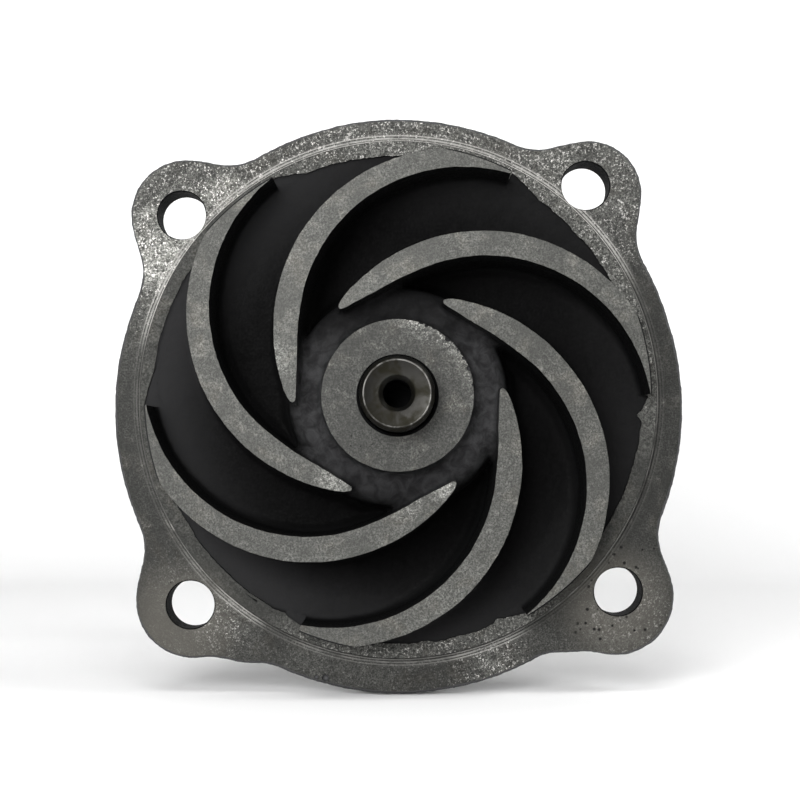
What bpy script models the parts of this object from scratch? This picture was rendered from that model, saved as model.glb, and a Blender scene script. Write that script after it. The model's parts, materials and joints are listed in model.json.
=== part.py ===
"""Coolant pump for a heavy engine: a flanged iron housing, an open six-vane impeller, a face seal,
an integral-shaft ball bearing and a drive hub.

The pump axis is +Y. The origin is the centre of the shaft's rear end, in the plane of the drive
hub's pilot. Distances along Y in this file are counted from the flange's mounting face: the impeller
stands in front of it, towards -Y, and the drive hub is behind it, towards +Y. An empty at the
mounting face carries every piece.
"""

import math

import bmesh
import bpy
from mathutils import Vector

MM = 0.001

# Flange
FLANGE_THICKNESS = 8.0 * MM
FLANGE_RADIUS = 64.7 * MM
SUMP_RADIUS = 65.3 * MM  # the flange's lower half bulges: a second circle, set lower
SUMP_DROP = 2.1 * MM
EAR_BLEND = 9.0 * MM
OUTLINE_POINTS = 104
LARGE_STEPS = 60  # facets round a large turned face
NECK_STEPS = 28
SMALL_STEPS = 24  # facets round a bore, a shaft or a ring
# each ear: centre of the lobe (x, z), lobe radius, centre of the bolt hole (x, z)
EARS = (
    ((43.4 * MM, 47.9 * MM), 12.0 * MM, (43.0 * MM, 49.4 * MM)),
    ((-48.5 * MM, 42.7 * MM), 12.6 * MM, (-49.9 * MM, 42.6 * MM)),
    ((-47.4 * MM, -46.1 * MM), 13.1 * MM, (-47.9 * MM, -47.0 * MM)),
    ((50.0 * MM, -45.2 * MM), 13.4 * MM, (50.5 * MM, -44.0 * MM)),
)
# the lower ears run out along the bottom edge: a second, lower circle beside each
SHOULDERS = (
    ((-34.5 * MM, -48.6 * MM), 11.6 * MM),
    ((38.0 * MM, -46.4 * MM), 11.0 * MM),
)
SHOULDER_BLEND = 3.0 * MM
BOLT_HOLE_RADIUS = 5.5 * MM
RECESS_RADIUS = 59.3 * MM
RECESS_DEPTH = 2.5 * MM

# Neck behind the flange
NECK_RADIUS = 22.0 * MM
NECK_END = 64.0 * MM
NECK_FLARE = 18.0 * MM
NECK_FLARE_LENGTH = 6.0 * MM
RIB_THICKNESS = 7.0 * MM
RIB_REACH = 53.0 * MM
RIB_END = 46.0 * MM
SEAL_BORE_RADIUS = 18.0 * MM
SEAL_BORE_END = 13.3 * MM
CHAMBER_RADIUS = 13.0 * MM
CHAMBER_END = 22.0 * MM
BEARING_BORE_RADIUS = 15.3 * MM
WEEP_Y = 18.2 * MM
WEEP_RADIUS = 2.5 * MM
VENT_RADIUS = 1.8 * MM

# Impeller
RIM_RADIUS = 58.5 * MM
RIM_FRONT = -3.0 * MM
DISC_BACK = 2.0 * MM
VANE_COUNT = 6
VANE_TIP_RADIUS = 56.3 * MM
EYE_RADIUS = 22.0 * MM
EYE_FRONT = -23.0 * MM  # front of the vanes at the eye, where they are tallest
TIP_FRONT = -13.0 * MM  # front of the vanes at their outer ends
HUB_RADIUS = 16.3 * MM
HUB_FRONT = -21.5 * MM
# the vane's two sides, as arcs: centre (x, z) and radius
OUTER_SIDE = ((6.3 * MM, -18.9 * MM), 40.3 * MM)
INNER_SIDE = ((5.2 * MM, -20.4 * MM), 36.2 * MM)
LEAD_IN = ((-17.3 * MM, -49.3 * MM), 72.8 * MM)  # touches the inner side's arc from outside
LEAD_IN_START = (16.9 * MM, 14.9 * MM)
NOSE_CENTRE = (10.2 * MM, 20.1 * MM)
NOSE_RADIUS = 0.8 * MM

# Shaft and bearing
SHAFT_RADIUS = 8.0 * MM
SHAFT_FRONT = -30.0 * MM
SHAFT_END = 88.0 * MM
PRESS_GAP = 0.3 * MM
BALL_RADIUS = 2.78 * MM
BALL_PITCH_RADIUS = 10.7 * MM
GROOVE_RADIUS = 3.0 * MM
BALLS_IN_ROW = 8
ROW_Y = {"front": 31.0 * MM, "rear": 52.0 * MM}
RING_OUTER_RADIUS = 15.0 * MM
RING_INNER_RADIUS = 12.6 * MM
RING_START = 22.3 * MM
RING_END = 61.0 * MM
SEAL_SEAT_RADIUS = 13.4 * MM
SEAL_SEAT_LENGTH = 2.3 * MM

# Drive hub
DRIVE_FRONT = 68.0 * MM
DRIVE_BACK = 88.0 * MM
DRIVE_RADIUS = 42.0 * MM
DRIVE_FLANGE_FRONT = 76.0 * MM
DRIVE_FLANGE_BACK = 84.0 * MM
DRIVE_HOLE_CIRCLE = 32.0 * MM
DRIVE_HOLE_RADIUS = 3.4 * MM

FACE_TO_AXIS = math.radians(-90)  # turns a shape made along Z to lie along +Y
CURVE_TO_FACE = math.radians(90)  # stands a flat curve up in the XZ plane


# ---------------------------------------------------------------- scene and materials


def clear_scene():
    for obj in list(bpy.data.objects):
        bpy.data.objects.remove(obj, do_unlink=True)


def new_collection(name):
    made = bpy.data.collections.new(name)
    bpy.context.scene.collection.children.link(made)
    return made


def material(name, colour, roughness, metallic):
    made = bpy.data.materials.new(name)
    made.use_nodes = True
    shader = made.node_tree.nodes["Principled BSDF"]
    shader.inputs["Base Color"].default_value = (*colour, 1.0)
    shader.inputs["Roughness"].default_value = roughness
    shader.inputs["Metallic"].default_value = metallic
    return made


def cast_iron():
    return material("cast_iron", (0.16, 0.16, 0.15), 0.62, 0.7)


def impeller_iron():
    return material("impeller_iron", (0.19, 0.19, 0.18), 0.66, 0.7)


def ground_steel():
    return material("ground_steel", (0.42, 0.41, 0.39), 0.25, 1.0)


def bearing_steel():
    return material("bearing_steel", (0.55, 0.55, 0.56), 0.18, 1.0)


def cage_plastic():
    return material("cage_plastic", (0.72, 0.66, 0.50), 0.45, 0.0)


def seal_rubber():
    return material("seal_rubber", (0.03, 0.03, 0.03), 0.75, 0.0)


def pressed_brass():
    return material("pressed_brass", (0.62, 0.48, 0.22), 0.32, 1.0)


def carbon():
    return material("carbon", (0.05, 0.05, 0.055), 0.4, 0.0)


def ceramic():
    return material("ceramic", (0.85, 0.83, 0.78), 0.2, 0.0)


def hub_steel():
    return material("hub_steel", (0.30, 0.30, 0.30), 0.42, 1.0)


# ---------------------------------------------------------------- shape tools


def signed_area(points):
    pairs = zip(points, points[1:] + points[:1])
    return 0.5 * sum(a[0] * b[1] - b[0] * a[1] for a, b in pairs)


def arc(centre, radius, start, end, count):
    """Points along an arc, from one angle to another in degrees."""
    steps = [math.radians(start + (end - start) * i / (count - 1)) for i in range(count)]
    return [(centre[0] + radius * math.cos(a), centre[1] + radius * math.sin(a)) for a in steps]


def turned(name, profile, steps, target):
    """A solid turned about +Y from a closed outline of (radius, y) points."""
    outline = list(profile)
    if signed_area(outline) > 0:
        outline.reverse()
    on_axis = [i for i, point in enumerate(outline) if point[0] == 0.0]
    if on_axis:
        first = next(i for i in on_axis if outline[i - 1][0] == 0.0)
        outline = outline[first:] + outline[:first]
    edges = [(i, i + 1) for i in range(len(outline) - 1)]
    if not on_axis:
        edges.append((len(outline) - 1, 0))
    mesh = bpy.data.meshes.new(name)
    mesh.from_pydata([(r, 0.0, y) for r, y in outline], edges, [])
    obj = bpy.data.objects.new(name, mesh)
    target.objects.link(obj)
    obj.rotation_euler.x = FACE_TO_AXIS
    screw = obj.modifiers.new("turn", "SCREW")
    screw.axis = "Z"
    screw.steps = steps
    screw.render_steps = steps
    screw.use_merge_vertices = True
    screw.merge_threshold = 0.000001
    screw.use_smooth_shade = True
    return obj


def flat_curve(name, outlines, thickness):
    curve = bpy.data.curves.new(name, "CURVE")
    curve.dimensions = "2D"
    curve.fill_mode = "BOTH"
    curve.extrude = thickness / 2
    for outline in outlines:
        spline = curve.splines.new("POLY")
        spline.points.add(len(outline) - 1)
        for point, (x, y) in zip(spline.points, outline):
            point.co = (x, y, 0.0, 1.0)
        spline.use_cyclic_u = True
    obj = bpy.data.objects.new(name, curve)
    bpy.context.scene.collection.objects.link(obj)
    return obj


def mesh_from_curve(curve_object, target):
    """Makes a curve a welded mesh, so that it can take Booleans, and removes the curve."""
    bpy.context.view_layer.update()
    evaluated = curve_object.evaluated_get(bpy.context.evaluated_depsgraph_get())
    mesh = bpy.data.meshes.new_from_object(evaluated)
    weld(mesh)
    name = curve_object.name
    matrix = curve_object.matrix_world.copy()
    bpy.data.objects.remove(curve_object, do_unlink=True)
    obj = bpy.data.objects.new(name, mesh)
    obj.matrix_world = matrix
    target.objects.link(obj)
    return obj


def weld(mesh):
    shape = bmesh.new()
    shape.from_mesh(mesh)
    bmesh.ops.remove_doubles(shape, verts=shape.verts, dist=0.000001)
    bmesh.ops.recalc_face_normals(shape, faces=shape.faces)
    shape.to_mesh(mesh)
    shape.free()


def plate(name, outlines, front, back, target):
    """A flat plate from outlines of (x, z) points, between two distances along Y."""
    flat = flat_curve(name, outlines, back - front)
    flat.rotation_euler.x = CURVE_TO_FACE
    flat.location.y = (front + back) / 2
    return mesh_from_curve(flat, target)


def rod(name, radius, start, end, steps, target):
    """A round bar between two points."""
    start, end = Vector(start), Vector(end)
    along = end - start
    bpy.ops.mesh.primitive_cylinder_add(
        vertices=steps, radius=radius, depth=along.length, location=(start + end) / 2
    )
    obj = bpy.context.object
    obj.name = name
    obj.rotation_euler = along.to_track_quat("Z", "Y").to_euler()
    move_to(obj, target)
    return obj


def ball(name, radius, centre, rings, target):
    bpy.ops.mesh.primitive_uv_sphere_add(
        segments=2 * rings, ring_count=rings, radius=radius, location=centre
    )
    obj = bpy.context.object
    obj.name = name
    move_to(obj, target)
    return obj


def move_to(obj, target):
    for old in list(obj.users_collection):
        old.objects.unlink(obj)
    target.objects.link(obj)


def boolean(obj, tool, operation):
    step = obj.modifiers.new(f"{operation.lower()}_{tool.name}", "BOOLEAN")
    step.operation = operation
    step.object = tool
    tool.hide_render = True
    tool.display_type = "WIRE"


def finish(obj, look, sharp_degrees=32):
    obj.data.materials.clear()
    obj.data.materials.append(look)
    obj.data.shade_smooth()
    obj.data.set_sharp_from_angle(angle=math.radians(sharp_degrees))
    return obj


def axis_empty(name, y, target):
    """An empty on the pump axis, which the pieces that turn together hang on."""
    empty = bpy.data.objects.new(name, None)
    empty.location.y = y
    empty.empty_display_size = 0.02
    target.objects.link(empty)
    return empty


def hang(obj, empty):
    obj.parent = empty
    obj.location -= empty.location


# ---------------------------------------------------------------- housing


def smooth_nearer(first, second, blend):
    """The smaller of two distances, rounded over where they are alike."""
    overlap = max(blend - abs(first - second), 0.0) / blend
    return min(first, second) - overlap * overlap * blend / 4


def outside_flange(x, z):
    """Distance outside the flange's outline, negative inside it."""
    upper = math.hypot(x, z) - FLANGE_RADIUS
    lower = math.hypot(x, z + SUMP_DROP) - SUMP_RADIUS
    body = min(upper, lower)
    for (lobe_x, lobe_z), lobe_radius, _ in EARS:
        lobe = math.hypot(x - lobe_x, z - lobe_z) - lobe_radius
        body = smooth_nearer(body, lobe, EAR_BLEND)
    for (shoulder_x, shoulder_z), shoulder_radius in SHOULDERS:
        shoulder = math.hypot(x - shoulder_x, z - shoulder_z) - shoulder_radius
        body = smooth_nearer(body, shoulder, SHOULDER_BLEND)
    return body


def flange_outline():
    """Walks round the axis and finds the outline's radius at each angle by halving."""
    points = []
    for i in range(OUTLINE_POINTS):
        angle = math.tau * i / OUTLINE_POINTS
        near, far = RECESS_RADIUS, 2 * FLANGE_RADIUS
        for _ in range(40):
            middle = (near + far) / 2
            if outside_flange(middle * math.cos(angle), middle * math.sin(angle)) < 0:
                near = middle
            else:
                far = middle
        points.append((near * math.cos(angle), near * math.sin(angle)))
    return points


def neck_profile():
    flare_start, flare_end, count = 6.8 * MM, 30.0 * MM, 6
    outer = []
    for i in range(count):
        y = flare_start + (flare_end - flare_start) * (i / (count - 1)) ** 1.6
        spread = math.exp(-(y - FLANGE_THICKNESS) / NECK_FLARE_LENGTH)
        outer.append((NECK_RADIUS + NECK_FLARE * spread, y))
    chamfer = 1.0 * MM
    return [
        (0.0, 4.0 * MM),
        (outer[0][0], 4.0 * MM),
        *outer,
        (NECK_RADIUS, NECK_END - chamfer),
        (NECK_RADIUS - chamfer, NECK_END),
        (0.0, NECK_END),
    ]


def recess_profile():
    """The shallow recess that the impeller's disc runs in."""
    before = -2.0 * MM
    return [(0.0, before), (RECESS_RADIUS, before), (RECESS_RADIUS, RECESS_DEPTH), (0.0, RECESS_DEPTH)]


def bore_profile():
    """What is bored through the housing: seal seat, weep chamber, bearing bore and clip groove."""
    before, after = 1.0 * MM, NECK_END + 2.0 * MM
    lip_radius, lip_end = 21.0 * MM, 4.0 * MM
    clip_radius, clip_start, clip_end = 16.7 * MM, 61.3 * MM, 62.7 * MM
    return [
        (0.0, before),
        (lip_radius, before),
        (lip_radius, lip_end),
        (SEAL_BORE_RADIUS, lip_end),
        (SEAL_BORE_RADIUS, SEAL_BORE_END),
        (CHAMBER_RADIUS, SEAL_BORE_END),
        (CHAMBER_RADIUS, CHAMBER_END),
        (BEARING_BORE_RADIUS, CHAMBER_END),
        (BEARING_BORE_RADIUS, clip_start),
        (clip_radius, clip_start),
        (clip_radius, clip_end),
        (BEARING_BORE_RADIUS, clip_end),
        (BEARING_BORE_RADIUS, after),
        (0.0, after),
    ]


def rib(angle, tools):
    """A web between the flange and the neck, in line with an ear."""
    inner, root = 16.0 * MM, 6.0 * MM
    outline = [
        (inner, root),
        (RIB_REACH, root),
        (RIB_REACH, FLANGE_THICKNESS + 2.0 * MM),
        (NECK_RADIUS + 1.0 * MM, RIB_END),
        (inner, RIB_END),
    ]
    web = flat_curve(f"rib_{math.degrees(angle):.0f}", [outline], RIB_THICKNESS)
    web.rotation_euler.y = -angle
    return mesh_from_curve(web, tools)


def build_housing(parts, tools):
    housing = plate("housing", [flange_outline()], 0.0, FLANGE_THICKNESS, parts)
    boolean(housing, turned("neck", neck_profile(), NECK_STEPS, tools), "UNION")
    for (lobe_x, lobe_z), _, _ in EARS:
        boolean(housing, rib(math.atan2(lobe_z, lobe_x), tools), "UNION")
    boolean(housing, turned("recess", recess_profile(), LARGE_STEPS, tools), "DIFFERENCE")
    boolean(housing, turned("bores", bore_profile(), SMALL_STEPS, tools), "DIFFERENCE")
    for i, (_, _, (x, z)) in enumerate(EARS):
        start, end = (x, -0.01, z), (x, 0.02, z)
        hole = rod(f"bolt_hole_{i + 1}", BOLT_HOLE_RADIUS, start, end, 24, tools)
        boolean(housing, hole, "DIFFERENCE")
    weep = rod("weep", WEEP_RADIUS, (0, WEEP_Y, -0.01), (0, WEEP_Y, -0.05), 12, tools)
    vent = rod("vent", VENT_RADIUS, (0, WEEP_Y, 0.01), (0, WEEP_Y, 0.05), 12, tools)
    boolean(housing, weep, "DIFFERENCE")
    boolean(housing, vent, "DIFFERENCE")
    return finish(housing, cast_iron())


# ---------------------------------------------------------------- impeller


def angle_about(centre, point):
    return math.degrees(math.atan2(point[1] - centre[1], point[0] - centre[0]))


def where_arc_meets_circle(centre, radius, circle_radius):
    """Angle about the arc's centre where, going clockwise, it first meets a circle round the axis."""
    distance = math.hypot(*centre)
    along = (circle_radius**2 - radius**2 - distance**2) / (2 * radius * distance)
    return math.degrees(math.atan2(centre[1], centre[0]) + math.acos(along))


def vane_outline():
    """The vane seen from the front: outer side, nose, lead-in, inner side and outer end."""
    past_tip = VANE_TIP_RADIUS + 0.7 * MM
    outer_end = where_arc_meets_circle(*OUTER_SIDE, past_tip)
    inner_end = where_arc_meets_circle(*INNER_SIDE, past_tip)
    nose_top = (NOSE_CENTRE[0], NOSE_CENTRE[1] + NOSE_RADIUS)
    outer_start = angle_about(OUTER_SIDE[0], nose_top) - 2.5
    touch = angle_about(LEAD_IN[0], INNER_SIDE[0])
    lead_start = angle_about(LEAD_IN[0], LEAD_IN_START)
    outer = arc(*OUTER_SIDE, outer_end, outer_start, 13)
    nose = arc(NOSE_CENTRE, NOSE_RADIUS, 85, 235, 5)
    lead = arc(*LEAD_IN, lead_start, touch, 4)
    inner = arc(*INNER_SIDE, touch, inner_end, 12)
    tip_angles = [angle_about((0.0, 0.0), point) for point in (inner[-1], outer[0])]
    tip = arc((0.0, 0.0), past_tip, *tip_angles, 4)
    return outer + nose + lead + inner[1:] + tip[1:-1]


def rotated(outline, angle):
    c, s = math.cos(angle), math.sin(angle)
    return [(c * x - s * z, s * x + c * z) for x, z in outline]


def vane_envelope():
    """What the vanes may fill: a cone in front, the tip circle outside, and the disc behind."""
    root = 0.5 * MM
    return [
        (0.0, EYE_FRONT),
        (EYE_RADIUS, EYE_FRONT),
        (VANE_TIP_RADIUS, TIP_FRONT),
        (VANE_TIP_RADIUS, root),
        (0.0, root),
    ]


def impeller_profile():
    """The disc with its hub boss, dished channel floor and rim, before it is bored."""
    return [
        (0.0, HUB_FRONT),
        (HUB_RADIUS, HUB_FRONT),
        (HUB_RADIUS + 0.4 * MM, -18.4 * MM),
        (HUB_RADIUS + 1.8 * MM, -17.2 * MM),
        (21.6 * MM, -16.4 * MM),
        (23.4 * MM, -14.8 * MM),
        (24.6 * MM, -2.8 * MM),
        (26.0 * MM, -1.0 * MM),
        (45.0 * MM, -1.3 * MM),
        (54.8 * MM, -2.2 * MM),
        (55.8 * MM, RIM_FRONT),
        (RIM_RADIUS, RIM_FRONT),
        (RIM_RADIUS, DISC_BACK),
        (0.0, DISC_BACK),
    ]


def impeller_bore_profile():
    """The bore with its chamfered mouth, and the socket for the mating ring behind it."""
    bore, mouth_chamfer = SHAFT_RADIUS + PRESS_GAP, 1.1 * MM
    socket_radius, socket_end = 15.0 * MM, -5.0 * MM
    before, after = HUB_FRONT - 1.0 * MM, DISC_BACK + 1.0 * MM
    return [
        (0.0, before),
        (bore + mouth_chamfer + 1.0 * MM, before),
        (bore, HUB_FRONT + mouth_chamfer),
        (bore, socket_end),
        (socket_radius, socket_end),
        (socket_radius, after),
        (0.0, after),
    ]


def build_impeller(parts, tools, axis):
    impeller = turned("impeller", impeller_profile(), LARGE_STEPS, parts)
    outline = vane_outline()
    outlines = [rotated(outline, math.tau * i / VANE_COUNT) for i in range(VANE_COUNT)]
    vanes = plate("vanes", outlines, EYE_FRONT - 1.0 * MM, 1.0 * MM, tools)
    boolean(vanes, turned("vane_envelope", vane_envelope(), LARGE_STEPS, tools), "INTERSECT")
    boolean(impeller, vanes, "UNION")
    boolean(impeller, turned("impeller_bore", impeller_bore_profile(), SMALL_STEPS, tools), "DIFFERENCE")
    hang(impeller, axis)
    return finish(impeller, impeller_iron())


# ---------------------------------------------------------------- shaft and bearing


def groove(row_y, centre_radius, reach_radius, count=5):
    """Points of a ball groove cut into a cylinder, from its front edge to its rear edge."""
    half_width = math.sqrt(GROOVE_RADIUS**2 - (centre_radius - reach_radius) ** 2)
    side = 1 if reach_radius > centre_radius else -1
    points = []
    for i in range(count):
        along = half_width * (2 * i / (count - 1) - 1)
        depth = math.sqrt(GROOVE_RADIUS**2 - along**2)
        points.append((centre_radius + side * depth, row_y + along))
    return points


def shaft_profile():
    chamfer = 0.7 * MM
    centre_hole, hole_chamfer = 3.0 * MM, 0.4 * MM
    hole_end = SHAFT_FRONT + 13.0 * MM
    return [
        (0.0, hole_end + 1.7 * MM),
        (centre_hole, hole_end),
        (centre_hole, SHAFT_FRONT + hole_chamfer),
        (centre_hole + hole_chamfer, SHAFT_FRONT),
        (SHAFT_RADIUS - chamfer, SHAFT_FRONT),
        (SHAFT_RADIUS, SHAFT_FRONT + chamfer),
        *groove(ROW_Y["front"], BALL_PITCH_RADIUS, SHAFT_RADIUS),
        *groove(ROW_Y["rear"], BALL_PITCH_RADIUS, SHAFT_RADIUS),
        (SHAFT_RADIUS, SHAFT_END - chamfer),
        (SHAFT_RADIUS - chamfer, SHAFT_END),
        (0.0, SHAFT_END),
    ]


def build_shaft(parts, axis):
    shaft = turned("shaft", shaft_profile(), SMALL_STEPS, parts)
    hang(shaft, axis)
    return finish(shaft, ground_steel())


def bearing_ring_profile():
    edge = 0.5 * MM
    return [
        (RING_OUTER_RADIUS - edge, RING_START),
        (RING_OUTER_RADIUS, RING_START + edge),
        (RING_OUTER_RADIUS, RING_END - edge),
        (RING_OUTER_RADIUS - edge, RING_END),
        (SEAL_SEAT_RADIUS, RING_END),
        (SEAL_SEAT_RADIUS, RING_END - SEAL_SEAT_LENGTH),
        (RING_INNER_RADIUS, RING_END - SEAL_SEAT_LENGTH),
        *reversed(groove(ROW_Y["rear"], BALL_PITCH_RADIUS, RING_INNER_RADIUS)),
        *reversed(groove(ROW_Y["front"], BALL_PITCH_RADIUS, RING_INNER_RADIUS)),
        (RING_INNER_RADIUS, RING_START + SEAL_SEAT_LENGTH),
        (SEAL_SEAT_RADIUS, RING_START + SEAL_SEAT_LENGTH),
        (SEAL_SEAT_RADIUS, RING_START),
    ]


def build_bearing_ring(parts):
    ring = turned("bearing_outer_ring", bearing_ring_profile(), SMALL_STEPS, parts)
    return finish(ring, bearing_steel())


def bearing_seal_profile(outer_face, inwards):
    """A lip seal's half section. inwards is +1 for the front seal and -1 for the rear one."""
    seat, bead, lip = SEAL_SEAT_RADIUS - PRESS_GAP, 1.7 * MM, SHAFT_RADIUS + 0.35 * MM
    depth = (0.0, 0.4 * MM, 1.2 * MM, bead)
    y = [outer_face + inwards * d for d in depth]
    return [
        (seat, y[0]),
        (seat, y[3]),
        (seat - 1.0 * MM, y[3]),
        (seat - 1.2 * MM, y[2]),
        (lip + 0.6 * MM, y[2]),
        (lip, y[0]),
        (lip + 0.6 * MM, y[1]),
        (seat - 1.2 * MM, y[1]),
        (seat - 1.0 * MM, y[0]),
    ]


def build_bearing_seals(parts):
    look = seal_rubber()
    inset = 0.3 * MM
    for end, face, inwards in (("front", RING_START + inset, 1), ("rear", RING_END - inset, -1)):
        profile = bearing_seal_profile(face, inwards)
        finish(turned(f"bearing_seal_{end}", profile, SMALL_STEPS, parts), look)


def ball_centres(row_y):
    for i in range(BALLS_IN_ROW):
        angle = math.tau * i / BALLS_IN_ROW
        x, z = BALL_PITCH_RADIUS * math.cos(angle), BALL_PITCH_RADIUS * math.sin(angle)
        yield Vector((x, row_y, z))


def build_ball_row(row, parts, tools):
    """One row: the cage and its balls, which go round the axis together."""
    row_y = ROW_Y[row]
    axis = axis_empty(f"cage_{row}_axis", row_y, parts)
    web_side = 1 if row == "front" else -1  # the cage's closed side faces the bearing's middle
    inner, outer = 9.2 * MM, 12.1 * MM
    open_side, closed_side = row_y - web_side * 1.8 * MM, row_y + web_side * 3.8 * MM
    band = [(inner, open_side), (outer, open_side), (outer, closed_side), (inner, closed_side)]
    cage = turned(f"cage_{row}", band, 24, parts)
    steel = bearing_steel()
    for i, centre in enumerate(ball_centres(row_y)):
        pocket = ball(f"pocket_{row}_{i + 1}", BALL_RADIUS + 0.22 * MM, centre, 5, tools)
        boolean(cage, pocket, "DIFFERENCE")
        piece = ball(f"bearing_ball_{row}_{i + 1}", BALL_RADIUS, centre, 5, parts)
        hang(piece, axis)
        finish(piece, steel, 180)
    hang(cage, axis)
    finish(cage, cage_plastic())


def clip_outline():
    """A snap ring seen from behind: an open ring with two drilled lugs at the gap."""
    outer, inner, lug = 16.4 * MM, 14.3 * MM, 12.6 * MM
    gap, lug_reach = 14.0, 28.0
    ring = arc((0, 0), outer, 90 + gap, 450 - gap, 34)
    lug_right = arc((0, 0), lug, 90 - gap, 90 - lug_reach, 3)
    inside = arc((0, 0), inner, 90 - lug_reach - 4, -270 + lug_reach + 4, 28)
    lug_left = arc((0, 0), lug, -270 + lug_reach, -270 + gap, 3)
    return ring + lug_right + inside + lug_left


def build_clip(parts, tools):
    front, back = 61.45 * MM, 62.55 * MM
    clip = plate("bearing_clip", [clip_outline()], front, back, parts)
    for side in (-1, 1):
        angle = math.radians(90 + side * 20)
        x, z = 14.1 * MM * math.cos(angle), 14.1 * MM * math.sin(angle)
        name = "clip_hole_left" if side > 0 else "clip_hole_right"
        hole = rod(name, 0.8 * MM, (x, front - MM, z), (x, back + MM, z), 12, tools)
        boolean(clip, hole, "DIFFERENCE")
    return finish(clip, hub_steel())


def build_slinger(parts, axis):
    bore, hub, rim = SHAFT_RADIUS + 0.35 * MM, 9.7 * MM, 12.2 * MM
    profile = [
        (bore, 15.6 * MM),
        (hub, 15.6 * MM),
        (hub, 17.2 * MM),
        (rim, 16.2 * MM),
        (rim, 17.0 * MM),
        (hub, 18.6 * MM),
        (hub, 20.4 * MM),
        (bore, 20.4 * MM),
    ]
    slinger = turned("slinger", profile, SMALL_STEPS, parts)
    hang(slinger, axis)
    return finish(slinger, seal_rubber())


# ---------------------------------------------------------------- face seal


def build_seal_case(parts):
    wall = 0.8 * MM
    outer, lip, throat = SEAL_BORE_RADIUS - PRESS_GAP, 20.6 * MM, 9.6 * MM
    front, back = 3.0 * MM, SEAL_BORE_END - 0.7 * MM
    profile = [
        (lip, front),
        (lip, front + wall),
        (outer, front + wall),
        (outer, back),
        (throat, back),
        (throat, back - wall),
        (outer - wall, back - wall),
        (outer - wall, front),
    ]
    return finish(turned("seal_case", profile, SMALL_STEPS, parts), pressed_brass())


def build_seal_bellows(parts):
    start, end, waves, count = 5.9 * MM, 11.5 * MM, 2, 9
    middle, swing, wall = 12.1 * MM, 0.7 * MM, 1.1 * MM
    outside = []
    for i in range(count):
        along = i / (count - 1)
        radius = middle + swing * math.cos(math.tau * waves * along)
        outside.append((radius, start + (end - start) * along))
    inside = [(radius - wall, y) for radius, y in reversed(outside)]
    return finish(turned("seal_bellows", outside + inside, SMALL_STEPS, parts), seal_rubber())


def build_seal_spring(parts):
    """An open coil, drawn as a wire along a helix round the axis."""
    start, end, turns, per_turn = 6.8 * MM, 10.9 * MM, 3, 16
    coil_radius, wire_radius = 15.4 * MM, 0.55 * MM
    curve = bpy.data.curves.new("seal_spring", "CURVE")
    curve.dimensions = "3D"
    curve.bevel_depth = wire_radius
    curve.bevel_resolution = 1
    curve.use_fill_caps = True
    spline = curve.splines.new("POLY")
    count = int(turns * per_turn) + 1
    spline.points.add(count - 1)
    for i, point in enumerate(spline.points):
        angle = math.tau * i / per_turn
        y = start + (end - start) * i / (count - 1)
        point.co = (coil_radius * math.cos(angle), y, coil_radius * math.sin(angle), 1.0)
    coil = bpy.data.objects.new("seal_spring", curve)
    bpy.context.scene.collection.objects.link(coil)
    return finish(mesh_from_curve(coil, parts), bearing_steel(), 60)


def build_carbon_ring(parts, float_axis):
    """The stationary face: a ring with a narrow nose that runs against the mating ring."""
    profile = [
        (9.5 * MM, 5.5 * MM),
        (9.5 * MM, 3.0 * MM),
        (10.6 * MM, 2.6 * MM),
        (10.6 * MM, 1.7 * MM),
        (12.3 * MM, 1.7 * MM),
        (12.3 * MM, 3.0 * MM),
        (13.2 * MM, 3.2 * MM),
        (13.2 * MM, 5.5 * MM),
    ]
    ring = turned("seal_carbon_ring", profile, SMALL_STEPS, parts)
    hang(ring, float_axis)
    return finish(ring, carbon())


def build_ring_retainer(parts, float_axis):
    """The pressed sleeve that carries the carbon ring and gives the spring its seat."""
    profile = [
        (13.5 * MM, 3.2 * MM),
        (14.1 * MM, 3.2 * MM),
        (14.1 * MM, 5.2 * MM),
        (16.3 * MM, 5.2 * MM),
        (16.3 * MM, 5.8 * MM),
        (13.5 * MM, 5.8 * MM),
    ]
    retainer = turned("seal_ring_retainer", profile, SMALL_STEPS, parts)
    hang(retainer, float_axis)
    return finish(retainer, bearing_steel())


def build_mating_ring(parts, axis):
    back, front, edge = -3.5 * MM, 1.4 * MM, 0.4 * MM
    inner, outer = 9.1 * MM, 13.4 * MM
    profile = [
        (inner, back),
        (outer - edge, back),
        (outer, back + edge),
        (outer, front - edge),
        (outer - edge, front),
        (inner, front),
    ]
    ring = turned("mating_ring", profile, SMALL_STEPS, parts)
    hang(ring, axis)
    return finish(ring, ceramic())


def build_mating_ring_cup(parts, axis):
    """The rubber cup that seats the mating ring in the back of the impeller."""
    outer, inner, throat = 14.7 * MM, 13.7 * MM, 9.8 * MM
    profile = [
        (throat, -4.7 * MM),
        (outer, -4.7 * MM),
        (outer, 1.0 * MM),
        (inner, 1.0 * MM),
        (inner, -3.9 * MM),
        (throat, -3.9 * MM),
    ]
    cup = turned("mating_ring_cup", profile, SMALL_STEPS, parts)
    hang(cup, axis)
    return finish(cup, seal_rubber())


# ---------------------------------------------------------------- drive hub


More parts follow.
